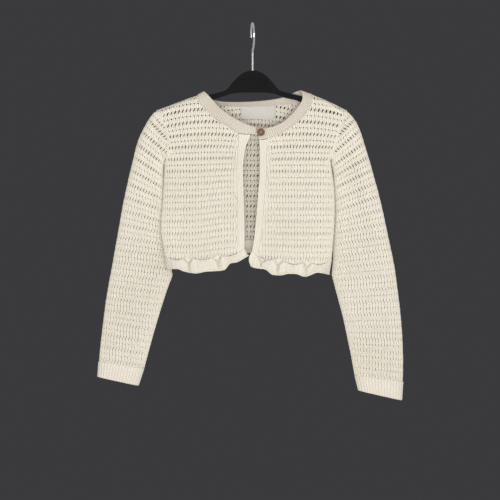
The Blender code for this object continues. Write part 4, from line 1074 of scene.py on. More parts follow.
def sleeve_edges(side):
    """Strands round the armhole, down the seam under the arm and round the cuff's seam."""
    out = -INWARD[side]
    heights = np.linspace(TIP_HEIGHT, UNDERARM_HEIGHT, 40)
    across = side_edge(side, heights)
    strands = []
    for face in (FRONT, BACK):
        depth = body_depth(face, across, heights) - face * CLOTH_MIDDLE
        line = np.stack([across + out * SEAM_INSET, depth, heights], axis=-1)
        strands.append(edge_strand(line, line * 0 + (0, face, 0), SEAM_RADIUS))
    table = SLEEVES[side]
    inner = np.stack([table[:, 2] + out * SLEEVE_SEAM_INSET, table[:, 5], table[:, 3]], axis=-1)
    strands.append(edge_strand(inner, inner * 0 + (-out, 0, 0), SLEEVE_SEAM_RADIUS))
    x0, z0, x1, z1, half_depth, middle = table[-1]
    turn = np.linspace(0, 2, 80)
    share = np.where(turn <= 1, turn, 2 - turn)
    face = np.where(turn <= 1, FRONT, BACK)
    width = np.hypot(x1 - x0, z1 - z0)
    inset = closing(np.minimum(share, 1 - share) * width, SLEEVE_ROUND)
    draw = 1 - 2 * CLOTH_MIDDLE / width
    ring = np.stack([
        (x0 + x1) / 2 + (share - 0.5) * (x1 - x0) * draw,
        middle + face * (half_depth - CLOTH_MIDDLE) * inset,
        (z0 + z1) / 2 + (share - 0.5) * (z1 - z0) * draw + SEAM_INSET,
    ], axis=-1)
    strands.append(edge_strand(ring, ring - ring.mean(axis=0), SEAM_RADIUS))
    return strands


sleeve_knits = [knit_sleeve(side) for side in SIDES]

# %% [markdown]
# ## Ribbed edges
# Neckband and cuffs are knitted in ribs: rounded columns of stitches with narrow valleys. They are dense,
# so a thin shell with the ribs raised in its outer face does better than separate strands. Each rib also
# carries its chain of small V stitches, a quarter of a millimetre high. Towards the two edges of a band its
# ribs sink, where they are sewn on or roll over.

# %% Ribbed shells
RIB_PITCH = 3.3
RIB_PARTS = 6
RIB_HEIGHT = 0.95
STITCH_PITCH = 2.6
STITCH_HEIGHT = 0.22
CREST_POWER, V_SLANT = 1.9, 0.45
SEAM_GAP = 0.12
# How far behind the cloth a point lies that tells a shell's outer face from its inner one.
FAR_BEHIND = 40.0


def rib_relief(rib_phase, along):
    """Height of a rib with its V stitches. rib_phase counts ribs, along is in mm."""
    part = np.abs(rib_phase - np.floor(rib_phase) - 0.5) * 2
    crest = np.sqrt(np.maximum(1 - part**CREST_POWER, 0))
    chain = np.cos(2 * np.pi * (along / STITCH_PITCH + V_SLANT * part)) * (1 - part**4)
    return RIB_HEIGHT * crest + STITCH_HEIGHT * chain


def edge_share(rise, roll, lowest):
    """How much of a rib's height is left at a share of the way from one edge to the other."""
    risen = np.sqrt(np.clip(np.minimum(rise, 1 - rise) / roll, 0, 1))
    return lowest + (1 - lowest) * risen


def shell(outer, inner, closed, step_u, step_v):
    """A thin closed body between an outer and an inner grid, with places in mm for its stitches."""
    rows, columns = outer.shape[:2]
    points = np.concatenate([outer.reshape(-1, 3), inner.reshape(-1, 3)])
    index = np.arange(rows * columns).reshape(rows, columns)
    far = index + rows * columns
    v, u = np.meshgrid(np.arange(rows) * step_v, np.arange(columns + 1) * step_u, indexing="ij")
    spot = np.stack([u, v], axis=-1)
    if closed:
        wrap = lambda grid: np.concatenate([grid, grid[:, :1]], axis=1)
        index, far = wrap(index), wrap(far)
    else:
        spot = spot[:, :columns]

    def quads(a, b, c, d):
        return np.stack([a, b, c, d], axis=-1).reshape(-1, 4)

    cells = [spot[:-1, :-1], spot[:-1, 1:], spot[1:, 1:], spot[1:, :-1]]
    cell_spots = np.stack(cells, axis=-2).reshape(-1, 4, 2)
    faces = [
        quads(index[:-1, :-1], index[:-1, 1:], index[1:, 1:], index[1:, :-1]),
        quads(far[:-1, :-1], far[1:, :-1], far[1:, 1:], far[:-1, 1:]),
        quads(index[0, :-1], far[0, :-1], far[0, 1:], index[0, 1:]),
        quads(index[-1, :-1], index[-1, 1:], far[-1, 1:], far[-1, :-1]),
    ]
    flipped = cell_spots[:, [0, 3, 2, 1]]
    places = [cell_spots, flipped]
    if not closed:
        faces.append(quads(index[:-1, 0], index[1:, 0], far[1:, 0], far[:-1, 0]))
        faces.append(quads(index[:-1, -1], far[:-1, -1], far[1:, -1], index[1:, -1]))
    for face in faces[2:]:
        places.append(np.zeros((len(face), 4, 2)))
    return points, faces, places


def facing_out(part):
    """Turns a closed body's faces to point outwards."""
    points, faces, places = part
    volume = 0.0
    for face in faces:
        for k in range(1, face.shape[1] - 1):
            a, b, c = points[face[:, 0]], points[face[:, k]], points[face[:, k + 1]]
            volume += np.sum(np.einsum("ij,ij->i", a, np.cross(b, c)))
    if volume < 0:
        faces = [face[:, ::-1] for face in faces]
        places = [place[:, ::-1] for place in places]
    return points, faces, places


def rib_shell(base, closed, behind, relief, wall, step_u, step_v):
    """A shell on a grid of the outer face's points, raised by relief and a wall thick."""
    if closed:
        across = (np.roll(base, -1, axis=1) - np.roll(base, 1, axis=1)) / 2
    else:
        across = np.gradient(base, axis=1)
    normals = unit(np.cross(across, np.gradient(base, axis=0)))
    if np.sum(normals * (base - behind)) < 0:
        normals = -normals
    outer, inner = base + normals * relief[..., None], base - normals * wall
    return facing_out(shell(outer, inner, closed, step_u, step_v))


print("a neckband rib is", RIB_PITCH, "mm wide and", RIB_HEIGHT, "mm high")

# %% [markdown]
# ## Neckband
# One ribbed strip runs from one front corner round the back of the neck to the other. Its free edge leans
# forward behind the neck, where it rises against the hanger.

# %% Neckband
CURVED_SEAM_GAP = 0.25
NECKBAND_WALL = 2.2
NECKBAND_ROWS, NECKBAND_WIDTH = 26, 0.021
NECKBAND_ROLL, NECKBAND_LOWEST = 0.09, 0.35
NECK_CENTRE = np.array([3.0, 0.0, -190.0])


def neck_points(stations, face, column):
    """The band's seam, or with column 2 its free edge, in space."""
    line = neck_line(stations, column)
    points = on_body(face, line[:, 0], line[:, 1])
    if column == 2:
        points[:, 1] -= smooth(np.arange(len(NECKBAND)), NECKBAND[:, 4], stations)
    return points


last_station = len(NECKBAND) - 1.0
spans = (
    (np.linspace(0.0, 6.0, 60), FRONT),
    (np.linspace(6.15, 13.85, 70), BACK),
    (np.linspace(14.0, last_station, 60), FRONT),
)
neck_seam_line = np.concatenate([neck_points(stations, face, 0) for stations, face in spans])
neck_edge_line = np.concatenate([neck_points(stations, face, 2) for stations, face in spans])
neck_middle = (neck_seam_line + neck_edge_line) / 2
neck_reach = travel(neck_middle)
neck_ribs = int(round(neck_reach[-1] / RIB_PITCH))
neck_at = np.linspace(0, neck_reach[-1], neck_ribs * RIB_PARTS + 1)
neck_lines = [
    np.stack([np.interp(neck_at, neck_reach, line[:, i]) for i in range(3)], axis=-1)
    for line in (neck_seam_line, neck_edge_line)
]
rise = np.linspace(0, 1, NECKBAND_ROWS)[:, None, None]
band_width = np.linalg.norm(neck_lines[1] - neck_lines[0], axis=1)
start = neck_lines[0] + unit(neck_lines[1] - neck_lines[0]) * CURVED_SEAM_GAP
neck_base = start + rise * (neck_lines[1] - start)
along_rib = rise[..., 0] * band_width
neck_relief = rib_relief(neck_at / neck_reach[-1] * neck_ribs, along_rib)
neck_relief = neck_relief * edge_share(rise[..., 0], NECKBAND_ROLL, NECKBAND_LOWEST)
neck_part = rib_shell(
    neck_base, False, NECK_CENTRE, neck_relief, NECKBAND_WALL, RIB_PITCH / RIB_PARTS, 20.0 / NECKBAND_ROWS
)
neckband_rib = finish_knit(
    "neckband_rib", [neck_part], "neckband", None
)

# %% [markdown]
# ## Cuffs
# Each cuff carries the sleeve's tube on for about 30 mm in ribs that run down the arm, with a slightly
# rolled end.

# %% Cuffs
CUFF_ENDS = {
    # outer across, outer height, inner across, inner height, half depth, middle
    "left": (-248.6, -565.6, -183.4, -579.8, 9.5, 10.5),
    "right": (238.6, -602.9, 169.6, -587.2, 9.5, 4.0),
}
CUFF_RIBS, CUFF_ROWS = 34, 24
CUFF_WALL = 2.0
CUFF_ROLL, CUFF_LOWEST = 0.08, 0.4


def cuff_ring(row, turn):
    """An oval ring. turn runs from 0 over the front to 1 at the inner end and back to 2."""
    x0, z0, x1, z1, half_depth, middle = row
    share = np.where(turn <= 1, turn, 2 - turn)
    face = np.where(turn <= 1, FRONT, BACK)
    width = np.hypot(x1 - x0, z1 - z0)
    depth = half_depth * closing(np.minimum(share, 1 - share) * width, SLEEVE_ROUND)
    return np.stack([x0 + share * (x1 - x0), middle + face * depth, z0 + share * (z1 - z0)], axis=-1)


def rib_cuff(side):
    start, end = np.array(SLEEVES[side][-1]), np.array(CUFF_ENDS[side])
    width = np.array([start[2] - start[0], 0, start[3] - start[1]])
    down = unit(np.cross(width, (0, 1, 0)))
    down = -down if down[2] > 0 else down
    fine = np.linspace(0, 2, 1200)
    ring = cuff_ring(start, fine)
    reach = travel(ring)
    count = CUFF_RIBS * RIB_PARTS
    turn = np.interp(np.arange(count) / count * reach[-1], reach, fine)
    rise = np.linspace(0, 1, CUFF_ROWS)
    base = np.stack([cuff_ring(start + part * (end - start), turn) for part in rise])
    base[0] += down * SEAM_GAP
    length = np.linalg.norm(base[-1].mean(axis=0) - base[0].mean(axis=0))
    share = edge_share(rise[:, None], CUFF_ROLL, CUFF_LOWEST)
    relief = rib_relief(np.arange(count) / RIB_PARTS, rise[:, None] * length) * share
    centre = base.mean(axis=1, keepdims=True)
    part = rib_shell(base, True, centre, relief, CUFF_WALL, RIB_PITCH / RIB_PARTS, length / CUFF_ROWS)
    return finish_knit(f"cuff_{side}_rib", [part], f"cuff_{side}", None)


cuff_ribs = [rib_cuff(side) for side in SIDES]

# %% [markdown]
# ## Front bands
# Down each front edge runs a plain band about 11 mm wide. In the photograph it shows fine upright lines,
# so it is knitted as four flat ribs along its length.

# %% Front bands
BAND_TOP_GAP = 0.6
FRONT_BAND_RIBS, FRONT_BAND_ROWS, FRONT_BAND_RELIEF = 4, 220, 0.55
FRONT_BAND_WALL = 1.9


def rib_front_band(side):
    ends = (1.0, 0.0) if side == "left" else (last_station - 1.0, last_station)
    steps = np.linspace(0, 1, FRONT_BAND_RIBS * RIB_PARTS + 1)
    rows = np.linspace(0, 1, FRONT_BAND_ROWS)
    top = neck_line(ends[0] + (ends[1] - ends[0]) * steps)[:, 1] - BAND_TOP_GAP
    low_seam, low_edge = band_seam(side, FRONT_EDGES[0, 0]), front_edge(side, FRONT_EDGES[0, 0])
    hem = front_hem(side, low_seam + steps * (low_edge - low_seam))
    height = hem + rows[:, None] * (top - hem)
    inner = band_seam(side, height) + INWARD[side] * SEAM_GAP
    across = inner + steps * (front_edge(side, height) - inner)
    base = on_body(FRONT, across, height)
    relief = FRONT_BAND_RELIEF * rib_relief(steps[None] * FRONT_BAND_RIBS, height - hem)
    length = float(np.mean(top - hem))
    step_u, step_v = RIB_PITCH / RIB_PARTS, length / len(rows)
    behind = base + (0.0, FAR_BEHIND, 0.0)
    part = rib_shell(base, False, behind, relief, FRONT_BAND_WALL, step_u, step_v)
    return finish_knit(f"front_band_{side}_rib", [part], f"front_band_{side}", None)


front_band_ribs = [rib_front_band(side) for side in SIDES]

# %% [markdown]
# ## Ruffled hem
# The hem is a strip of fine smooth knit that is gathered at a few points, so it waves more towards its
# free edge. The edge itself rolls into a thin cord. A cloth simulation would fold it in its own places, so
# the waves are worked out from the same tables as the solids. Under the gathered points lie a few soft
# creases and sharp folds like a Y, which run out halfway down.

# %% Tables of the ruffle
FRILL_EDGES = {
    "left": np.array([
        # across, height
        (-137.0, -394.0), (-119.4, -392.3), (-107.0, -396.5), (-90.7, -399.5), (-74.4, -396.5),
        (-62.1, -395.8), (-45.8, -394.4), (-36.6, -384.2), (-24.3, -381.1), (-6.6, -371.8),
    ]),
    "right": np.array([
        (-3.0, -388.5), (2.2, -390.7), (21.4, -393.6), (32.6, -401.9), (42.7, -402.6),
        (57.3, -399.7), (69.6, -400.3), (82.1, -404.8), (102.2, -398.1), (122.4, -402.0),
    ]),
}
FRILL_WALL = 1.4
FRILL_SEAM_GAP = 0.12
FRILL_OUT, FRILL_WAVE, FRILL_POWER, FRILL_FADE = 3.0, 5.0, 0.8, 12.0
FRILL_ROWS, FRONT_FRILL_COLUMNS, BACK_FRILL_COLUMNS = 16, 260, 300
EDGE_ROLL, ROLL_LUMPS = 1.1, 1.6
# The front end of each front's ruffle swells out past its seam.
END_BULGE = {"left": 0.0, "right": -4.0}
END_REACH = 6.0
CREASE_DEPTH = 2.2
CREASES = (
    # past the pucker, half width, share of the depth
    (0.0, 4.0, 0.7), (11.0, 3.5, 0.5), (-10.0, 3.5, 0.4),
)
# Small gathers: depth, pitch, the drift that makes them uneven with its own pitch, share left at the edge.
GATHER_DEPTH, GATHER_PITCH, GATHER_DRIFT, DRIFT_PITCH, GATHER_LEFT = 0.45, 6.2, 1.7, 9.0, 0.25
FORK_DEPTH, FORK_SPREAD, FORK_MEETS, FORK_HALF_WIDTH = 6.0, 7.0, 0.45, 0.9
FORK_STARTS, FORK_FADES = 0.08, 0.5
GATHERED_AT = {"left": (-103.0, -57.0), "right": (15.0, 41.4, 87.0)}
BACK_LOBES, BACK_CREASE_FADE = 7, 30.0

print("the ruffle is a strip of", FRILL_ROWS, "rows")

# %% Shape of the ruffle
def bell(distance, half_width):
    return np.exp(-((distance / half_width) ** 2))


def forks(across, rows, gathered_at):
    """Sharp folds like a Y: two run down from the seam, meet under a gathered point and run on as one."""
    depth = 0.0
    for pucker in gathered_at:
        apart = FORK_SPREAD * np.clip(1 - rows / FORK_MEETS, 0, 1)
        for branch in (pucker - apart, pucker + apart):
            depth = depth + bell(across - branch, FORK_HALF_WIDTH)
    fade = easing(rows / FORK_STARTS) * easing((1 - rows) / FORK_FADES)
    return np.clip(depth, 0, 1) * fade


def frill_top(line, columns):
    """The ruffle's sewn edge, at even steps just below the seam."""
    top = evenly(line, travel(line)[-1] / columns)
    top[:, 2] -= FRILL_SEAM_GAP
    return top


def frill_bottom(top, ends):
    """The sewn edge stretched sideways between the two ends of the free edge."""
    bottom = top.copy()
    bottom[:, 0] = ends[0] + (top[:, 0] - top[0, 0]) / (top[-1, 0] - top[0, 0]) * (ends[1] - ends[0])
    return bottom


def frill_parts(top, bottom, face, lobes, fades, end_bulge, crease, gathered_at=()):
    """The ruffle's wavy strip and its rolled edge, and how wide the strip is when flat."""
    rows = np.linspace(0, 1, FRILL_ROWS)
    wave = face * (FRILL_OUT - FRILL_WAVE * (1 - 2 * lobes**FRILL_POWER)) * fades
    base = top + rows[:, None, None] * (bottom - top)
    base[:, :, 1] += rows[:, None] ** FRILL_POWER * wave
    base[:, :, 0] += np.sin(np.pi * rows)[:, None] * end_bulge
    base[:, :, 1] -= face * CREASE_DEPTH * np.sin(np.pi * rows**0.7)[:, None] * crease
    base[:, :, 1] -= face * FORK_DEPTH * forks(top[:, 0], rows[:, None], gathered_at)
    behind = base - (0.0, FAR_BEHIND * face, 0.0)
    gathers = np.cos(2 * np.pi * (top[:, 0] + GATHER_DRIFT * np.sin(top[:, 0] / DRIFT_PITCH)) / GATHER_PITCH)
    relief = GATHER_DEPTH * gathers * fades * (GATHER_LEFT + (1 - GATHER_LEFT) * (1 - rows[:, None]))
    width = travel(base[-1])[-1]
    step_u = width / base.shape[1]
    step_v = float(np.mean(top[:, 2] - bottom[:, 2])) / FRILL_ROWS
    body = rib_shell(base, False, behind, relief, FRILL_WALL, step_u, step_v)
    edge = base[-1] + (0.0, -face * FRILL_WALL / 2, EDGE_ROLL)
    outward = edge * 0 + (0, face, 0)
    return [body, edge_strand(edge, outward, EDGE_ROLL, ROLL_LUMPS)], width


print("its free edge is a roll", 2 * EDGE_ROLL, "mm thick")

# %% Ruffles
def frill_front(side):
    seam_height = front_hem(side, front_edge(side, FRONT_EDGES[0, 0]))
    line_across = np.linspace(side_edge(side, HEM_LEVEL), front_edge(side, seam_height), 240)
    line = on_body(FRONT, line_across, front_hem(side, line_across))
    top = frill_top(line, FRONT_FRILL_COLUMNS)
    table = FRILL_EDGES[side]
    bottom = frill_bottom(top, table[[0, -1], 0][::INWARD[side]])
    bottom[:, 2] = smooth(table[:, 0], table[:, 1], bottom[:, 0])
    fades = easing(np.abs(top[:, 0] - top[0, 0]) / FRILL_FADE)
    bulge = END_BULGE[side] * np.exp(-np.abs(top[:, 0] - top[-1, 0]) / END_REACH)
    crease = np.zeros(len(top))
    for pucker in PUCKERS[side][1:3, 0]:
        for past, half_width, share in CREASES:
            crease += share * bell(top[:, 0] - pucker - past, half_width)
    lobes = hem_lobe(side, top[:, 0])
    parts, width = frill_parts(top, bottom, FRONT, lobes, fades, bulge, crease, GATHERED_AT[side])
    name, sewn_on = f"hem_front_{side}", (f"front_{side}",)
    return finish_knit(name + "_frill", parts, name, None)


def frill_back():
    hem_ends = [side_edge(side, HEM_HEIGHT[side]) for side in SIDES]
    across = np.linspace(*hem_ends, 400)
    line = on_body(BACK, across, smooth(BACK_HEM[:, 0], BACK_HEM[:, 1], across))
    top = frill_top(line, BACK_FRILL_COLUMNS)
    bottom = frill_bottom(top, (FRILL_EDGES["left"][0, 0], FRILL_EDGES["right"][-1, 0]))
    bottom[:, 2] = smooth(BACK_HEM[:, 0], BACK_HEM[:, 2], top[:, 0])
    lobes = np.abs(np.sin(np.pi * BACK_LOBES * np.linspace(0, 1, len(top))))
    from_side = np.minimum(np.abs(top[:, 0] - top[0, 0]), np.abs(top[:, 0] - top[-1, 0]))
    crease = (1 - lobes) ** 4 * easing(from_side / BACK_CREASE_FADE)
    fades = easing(from_side / FRILL_FADE)
    parts, width = frill_parts(top, bottom, BACK, lobes, fades, np.zeros(len(top)), crease)
    return finish_knit("hem_back_frill", parts, "hem_back", None)


frills = [frill_front("left"), frill_front("right"), frill_back()]

# %% [markdown]
# ## Yarn and knit finishes
# Cotton yarn is matt, faintly fuzzy and never one colour. One shader group turns the distance along a
# strand and the way round it into the slanted plies of twisted yarn, paints shade into the grooves between
# the plies, and adds a soft drift of tone over the whole garment. A second group draws the small V stitches
# of the dense pieces, and paints shade into the hollows between their legs and into the valleys between
# ribs, where little light falls. Image textures would blur close up and need a picture of the cloth; these
# stay sharp at any distance.

# %% Helpers for shader nodes
def new_group(name, inputs, outputs):
    group = bpy.data.node_groups.new(name, "ShaderNodeTree")
    for socket, kind, value in inputs:
        item = group.interface.new_socket(name=socket, in_out="INPUT", socket_type=kind)
        if value is not None:
            item.default_value = value
    for socket, kind in outputs:
        group.interface.new_socket(name=socket, in_out="OUTPUT", socket_type=kind)
    return group, group.nodes.new("NodeGroupInput"), group.nodes.new("NodeGroupOutput")


def math(group, operation, first, second=None):
    node = group.nodes.new("ShaderNodeMath")
    node.operation = operation
    for socket, value in zip(node.inputs, (first, second)):
        if value is None:
            continue
        if isinstance(value, (int, float)):
            socket.default_value = value
        else:
            group.links.new(value, socket)
    return node.outputs[0]


def noise(group, place, scale, detail):
    node = group.nodes.new("ShaderNodeTexNoise")
    node.inputs["Scale"].default_value = scale
    node.inputs["Detail"].default_value = detail
    group.links.new(place, node.inputs["Vector"])
    return node.outputs[0]


VALUE, VECTOR = "NodeSocketFloat", "NodeSocketVector"
FIBRE_SCALE, DRIFT_SCALE = 900.0, 14.0


def cloth_group(name, own_inputs):
    """A group that reads a place on the strand and one on the garment, with its fibres and drift of tone."""
    both = [("Strand", VECTOR, None), ("Place", VECTOR, None)]
    group, into, out = new_group(name, both + own_inputs, [("Height", VALUE), ("Tone", VALUE)])
    split = group.nodes.new("ShaderNodeSeparateXYZ")
    group.links.new(into.outputs["Strand"], split.inputs[0])
    fibres = noise(group, into.outputs["Place"], FIBRE_SCALE, 3.0)
    drift = noise(group, into.outputs["Place"], DRIFT_SCALE, 2.0)
    return group, into, out, split, fibres, drift


print("fibres are about", round(1000 / FIBRE_SCALE, 1), "mm apart in the finish")

# %% Twisted yarn
yarn_group, into, out, split, fibres, drift = cloth_group(
    "twisted yarn", [("Plies", VALUE, 2.0), ("Twist", VALUE, 0.45)]
)
around = math(yarn_group, "MULTIPLY", split.outputs[0], into.outputs["Plies"])
along = math(yarn_group, "MULTIPLY", split.outputs[1], into.outputs["Twist"])
turn = math(yarn_group, "MULTIPLY", math(yarn_group, "ADD", around, along), 2 * np.pi)
plies = math(yarn_group, "ABSOLUTE", math(yarn_group, "SINE", turn))
yarn_group.links.new(
    math(yarn_group, "ADD", plies, math(yarn_group, "MULTIPLY", fibres, 0.6)), out.inputs["Height"]
)
# Painted shade: the tone darkens by up to 0.35 in the grooves between the plies.
dark = math(yarn_group, "MULTIPLY", math(yarn_group, "SUBTRACT", 1.0, plies), 0.35)
tone = math(yarn_group, "ADD", dark, math(yarn_group, "MULTIPLY", drift, 0.6))
yarn_group.links.new(tone, out.inputs["Tone"])
print("the yarn group has", len(yarn_group.nodes), "nodes")

# %% V stitches
stitch_group, into, out, split, fibres, drift = cloth_group(
    "V stitches", [("Width", VALUE, 1.6), ("Tall", VALUE, 1.3), ("Valley", VALUE, 0.0)]
)
column = math(stitch_group, "DIVIDE", split.outputs[0], into.outputs["Width"])
from_middle = math(stitch_group, "SUBTRACT", math(stitch_group, "FRACT", column), 0.5)
side = math(stitch_group, "ABSOLUTE", from_middle)
row = math(stitch_group, "DIVIDE", split.outputs[1], into.outputs["Tall"])
chevron = math(stitch_group, "ADD", row, math(stitch_group, "MULTIPLY", side, 1.1))
legs = math(stitch_group, "SINE", math(stitch_group, "MULTIPLY", chevron, 2 * np.pi))
groove = math(stitch_group, "SINE", math(stitch_group, "MULTIPLY", side, 2 * np.pi))
raised = math(stitch_group, "MULTIPLY", math(stitch_group, "ADD", legs, 1.0), groove)
stitch_group.links.new(
    math(stitch_group, "ADD", raised, math(stitch_group, "MULTIPLY", fibres, 0.5)), out.inputs["Height"]
)
# Painted shade: the tone darkens in the hollows between the stitches' legs, where the bump is low.
low = math(stitch_group, "MULTIPLY", math(stitch_group, "SUBTRACT", 2.0, raised), 0.14)
hollow_shade_and_cloud = math(stitch_group, "ADD", low, math(stitch_group, "MULTIPLY", drift, 0.6))
# Painted shade towards the valleys between ribs, as strong as the Valley input.
from_crest = math(stitch_group, "POWER", math(stitch_group, "MULTIPLY", side, 2.0), 3.0)
valley = math(stitch_group, "MULTIPLY", from_crest, into.outputs["Valley"])
stitch_group.links.new(math(stitch_group, "ADD", hollow_shade_and_cloud, valley), out.inputs["Tone"])
print("the stitch group has", len(stitch_group.nodes), "nodes")

# %% [markdown]
# ## Cloth finishes
# Each finish places one of the groups with its own values: the tone runs between a light and a deep cream,
# which is partly a deeper tone of the cotton and partly painted shade, and the height feeds a bump. The
# knit's painted shade is darkest in the grooves of its yarn. The neckband has dark painted shade in its
# valleys, the cuffs and front bands paler shade there, and the ruffle is a finer, smoother knit. Cotton is
# matt, so the roughness is high, with a little sheen for the fuzz.

# %% Cloth finishes
def start_material(name):
    material = bpy.data.materials.new(name)
    material.use_nodes = True
    return material, material.node_tree, material.node_tree.nodes["Principled BSDF"]


def mixed_colour(tree, factor, first, second):
    """A colour between two by a mask. Each is red, green and blue, or another node's colour."""
    mix = tree.nodes.new("ShaderNodeMix")
    mix.data_type = "RGBA"
    for socket, colour in (("A", first), ("B", second)):
        if isinstance(colour, (tuple, list)):
            mix.inputs[socket].default_value = (*colour, 1.0)
        else:
            tree.links.new(colour, mix.inputs[socket])
    tree.links.new(factor, mix.inputs["Factor"])
    return mix.outputs["Result"]


def add_bump(tree, shader, height, strength, distance):
    bump = tree.nodes.new("ShaderNodeBump")
    bump.inputs["Strength"].default_value = strength
    bump.inputs["Distance"].default_value = distance
    tree.links.new(height, bump.inputs["Height"])
    tree.links.new(bump.outputs["Normal"], shader.inputs["Normal"])


def cloth_material(name, group, values, light, deep, height, sheen=0.2):
    """A matt cloth whose colour runs from light to deep by the group's mask of tone and painted shade."""
    material, tree, shader = start_material(name)
    strand = tree.nodes.new("ShaderNodeUVMap")
    strand.uv_map = "yarn"
    place = tree.nodes.new("ShaderNodeTexCoord")
    effect = tree.nodes.new("ShaderNodeGroup")
    effect.node_tree = group
    for socket, value in values.items():
        effect.inputs[socket].default_value = value
    tree.links.new(strand.outputs["UV"], effect.inputs["Strand"])
    tree.links.new(place.outputs["Object"], effect.inputs["Place"])
    tree.links.new(mixed_colour(tree, effect.outputs["Tone"], light, deep), shader.inputs["Base Color"])
    add_bump(tree, shader, effect.outputs["Height"], 0.6, height)
    shader.inputs["Roughness"].default_value = 0.93
    shader.inputs["Specular IOR Level"].default_value = 0.25
    shader.inputs["Sheen Weight"].default_value = sheen
    shader.inputs["Sheen Roughness"].default_value = 0.5
    return material


def give(pieces, material):
    for piece in pieces:
        piece.data.materials.clear()
        piece.data.materials.append(material)


# In each pair the second colour is partly a deeper tone of the cotton and partly painted shade: in the yarn's
# grooves for the knit, in the stitches' hollows for the rest, and in the rib valleys for neckband and cuffs.
LIGHT_CREAM, DEEP_CREAM_AND_PLY_SHADE = (0.825, 0.80, 0.715), (0.71, 0.67, 0.565)
RIB_CREAM, RIB_DEEP_AND_VALLEY_SHADE = (0.78, 0.75, 0.67), (0.50, 0.46, 0.385)
CUFF_CREAM, CUFF_DEEP_AND_VALLEY_SHADE = (0.83, 0.805, 0.735), (0.62, 0.59, 0.515)
FRILL_CREAM, DEEP_FRILL_AND_HOLLOW_SHADE = (0.785, 0.765, 0.685), (0.66, 0.63, 0.54)
RIB_STITCH = {"Width": RIB_PITCH, "Tall": STITCH_PITCH}
knit_cotton = cloth_material(
    "knit cotton", yarn_group, {"Plies": 2.0, "Twist": 0.5}, LIGHT_CREAM, DEEP_CREAM_AND_PLY_SHADE, 0.00025
)
# The Valley values set how dark the painted shade in the ribs' valleys is.
rib_cotton = cloth_material(
    "rib cotton", stitch_group, {**RIB_STITCH, "Valley": 0.9}, RIB_CREAM, RIB_DEEP_AND_VALLEY_SHADE, 0.0002
)
cuff_cotton = cloth_material(
    "cuff cotton", stitch_group, {**RIB_STITCH, "Valley": 0.8}, CUFF_CREAM, CUFF_DEEP_AND_VALLEY_SHADE, 0.0002
)
frill_cotton = cloth_material(
    "frill cotton", stitch_group, {"Width": 1.5, "Tall": 1.2}, FRILL_CREAM, DEEP_FRILL_AND_HOLLOW_SHADE, 0.00015
)
give(front_knits + [back_knit] + sleeve_knits, knit_cotton)
give([neckband_rib], rib_cotton)
give(cuff_ribs + front_band_ribs, cuff_cotton)
give(frills, frill_cotton)
print("four cloth finishes")

# %% [markdown]
# ## Smooth finishes
# Plastic, wire and floor are smooth, but never quite one colour: a soft cloud runs through their tone and
# their gloss. One function makes them all. The floor has so little of it that it only just reads as a
# surface.

# %% Smooth finishes
GLOSS_RANGE = 0.16


def stretched_place(tree, scale, turned=(0.0, 0.0, 0.0)):
    """A place on the object, with the object's own size and turn of the grain."""
    place = tree.nodes.new("ShaderNodeTexCoord")
    stretch = tree.nodes.new("ShaderNodeMapping")
    stretch.inputs["Scale"].default_value = scale
    stretch.inputs["Rotation"].default_value = turned
    tree.links.new(place.outputs["Object"], stretch.inputs["Vector"])
    return stretch.outputs["Vector"]


def solid_material(name, base, roughness, metallic=0.0, grain=(1, 1, 1), variation=0.0, bump=0.0, gloss=0.5):
    """A smooth solid finish with grain in its tone, its gloss and its surface."""
    material, tree, shader = start_material(name)
    shader.inputs["Metallic"].default_value = metallic
    shader.inputs["Specular IOR Level"].default_value = gloss
    cloud = noise(tree, stretched_place(tree, grain), 60.0, 4.0)
    darker = [c * (1 - variation) for c in base]
    paler = [min(1, c * (1 + variation)) for c in base]
    tree.links.new(mixed_colour(tree, cloud, darker, paler), shader.inputs["Base Color"])
    rough = math(tree, "ADD", math(tree, "MULTIPLY", cloud, GLOSS_RANGE), roughness - GLOSS_RANGE / 2)
    tree.links.new(rough, shader.inputs["Roughness"])
    if bump:
        add_bump(tree, shader, cloud, 0.5, bump)
    return material


give([floor], solid_material("pale floor", (0.62, 0.61, 0.59), 0.8, variation=0.03))
print("the floor's finish:", floor.data.materials[0].name)

# %% [markdown]
# ## Hanger and hook
# The hanger is moulded in black plastic with a faint cloudy gloss. The hook is plated wire. Both solids
# have the right shape already, so they only get a better finish.

# %% Hanger and hook
nodes = frame["nodes"]
give(
    [nodes["hanger"]],
    solid_material("black plastic", (0.004, 0.004, 0.005), 0.55, variation=0.3, bump=0.00004, gloss=0.08),
)
give(
    [nodes["hook"]],
    solid_material("plated wire", (0.62, 0.62, 0.63), 0.24, 1.0, (1.0, 1.0, 0.1), 0.06, 0.00002),
)

# %% [markdown]
# ## Button
# The button is turned from brown wood or a resin like it, with grain across it and a paler rim, and is sewn
# on with cream thread through two holes. The rim's mask is the distance from the button's middle, so the
# solid needs no second material. The thread dips into the holes at both ends.

# %% Button
BUTTON_CENTRE = (13.1, -175.4)
HOLE_SPREAD = 0.9
RIM_INSIDE, RIM_FADE = 4.9, 0.8
THREAD_WIDE, THREAD_LUMPS, THREAD_APART, THREAD_POINTS = 0.26, 0.3, 0.25, 15
THREAD_BEHIND_RIM, THREAD_DIP = 0.3, 2.0


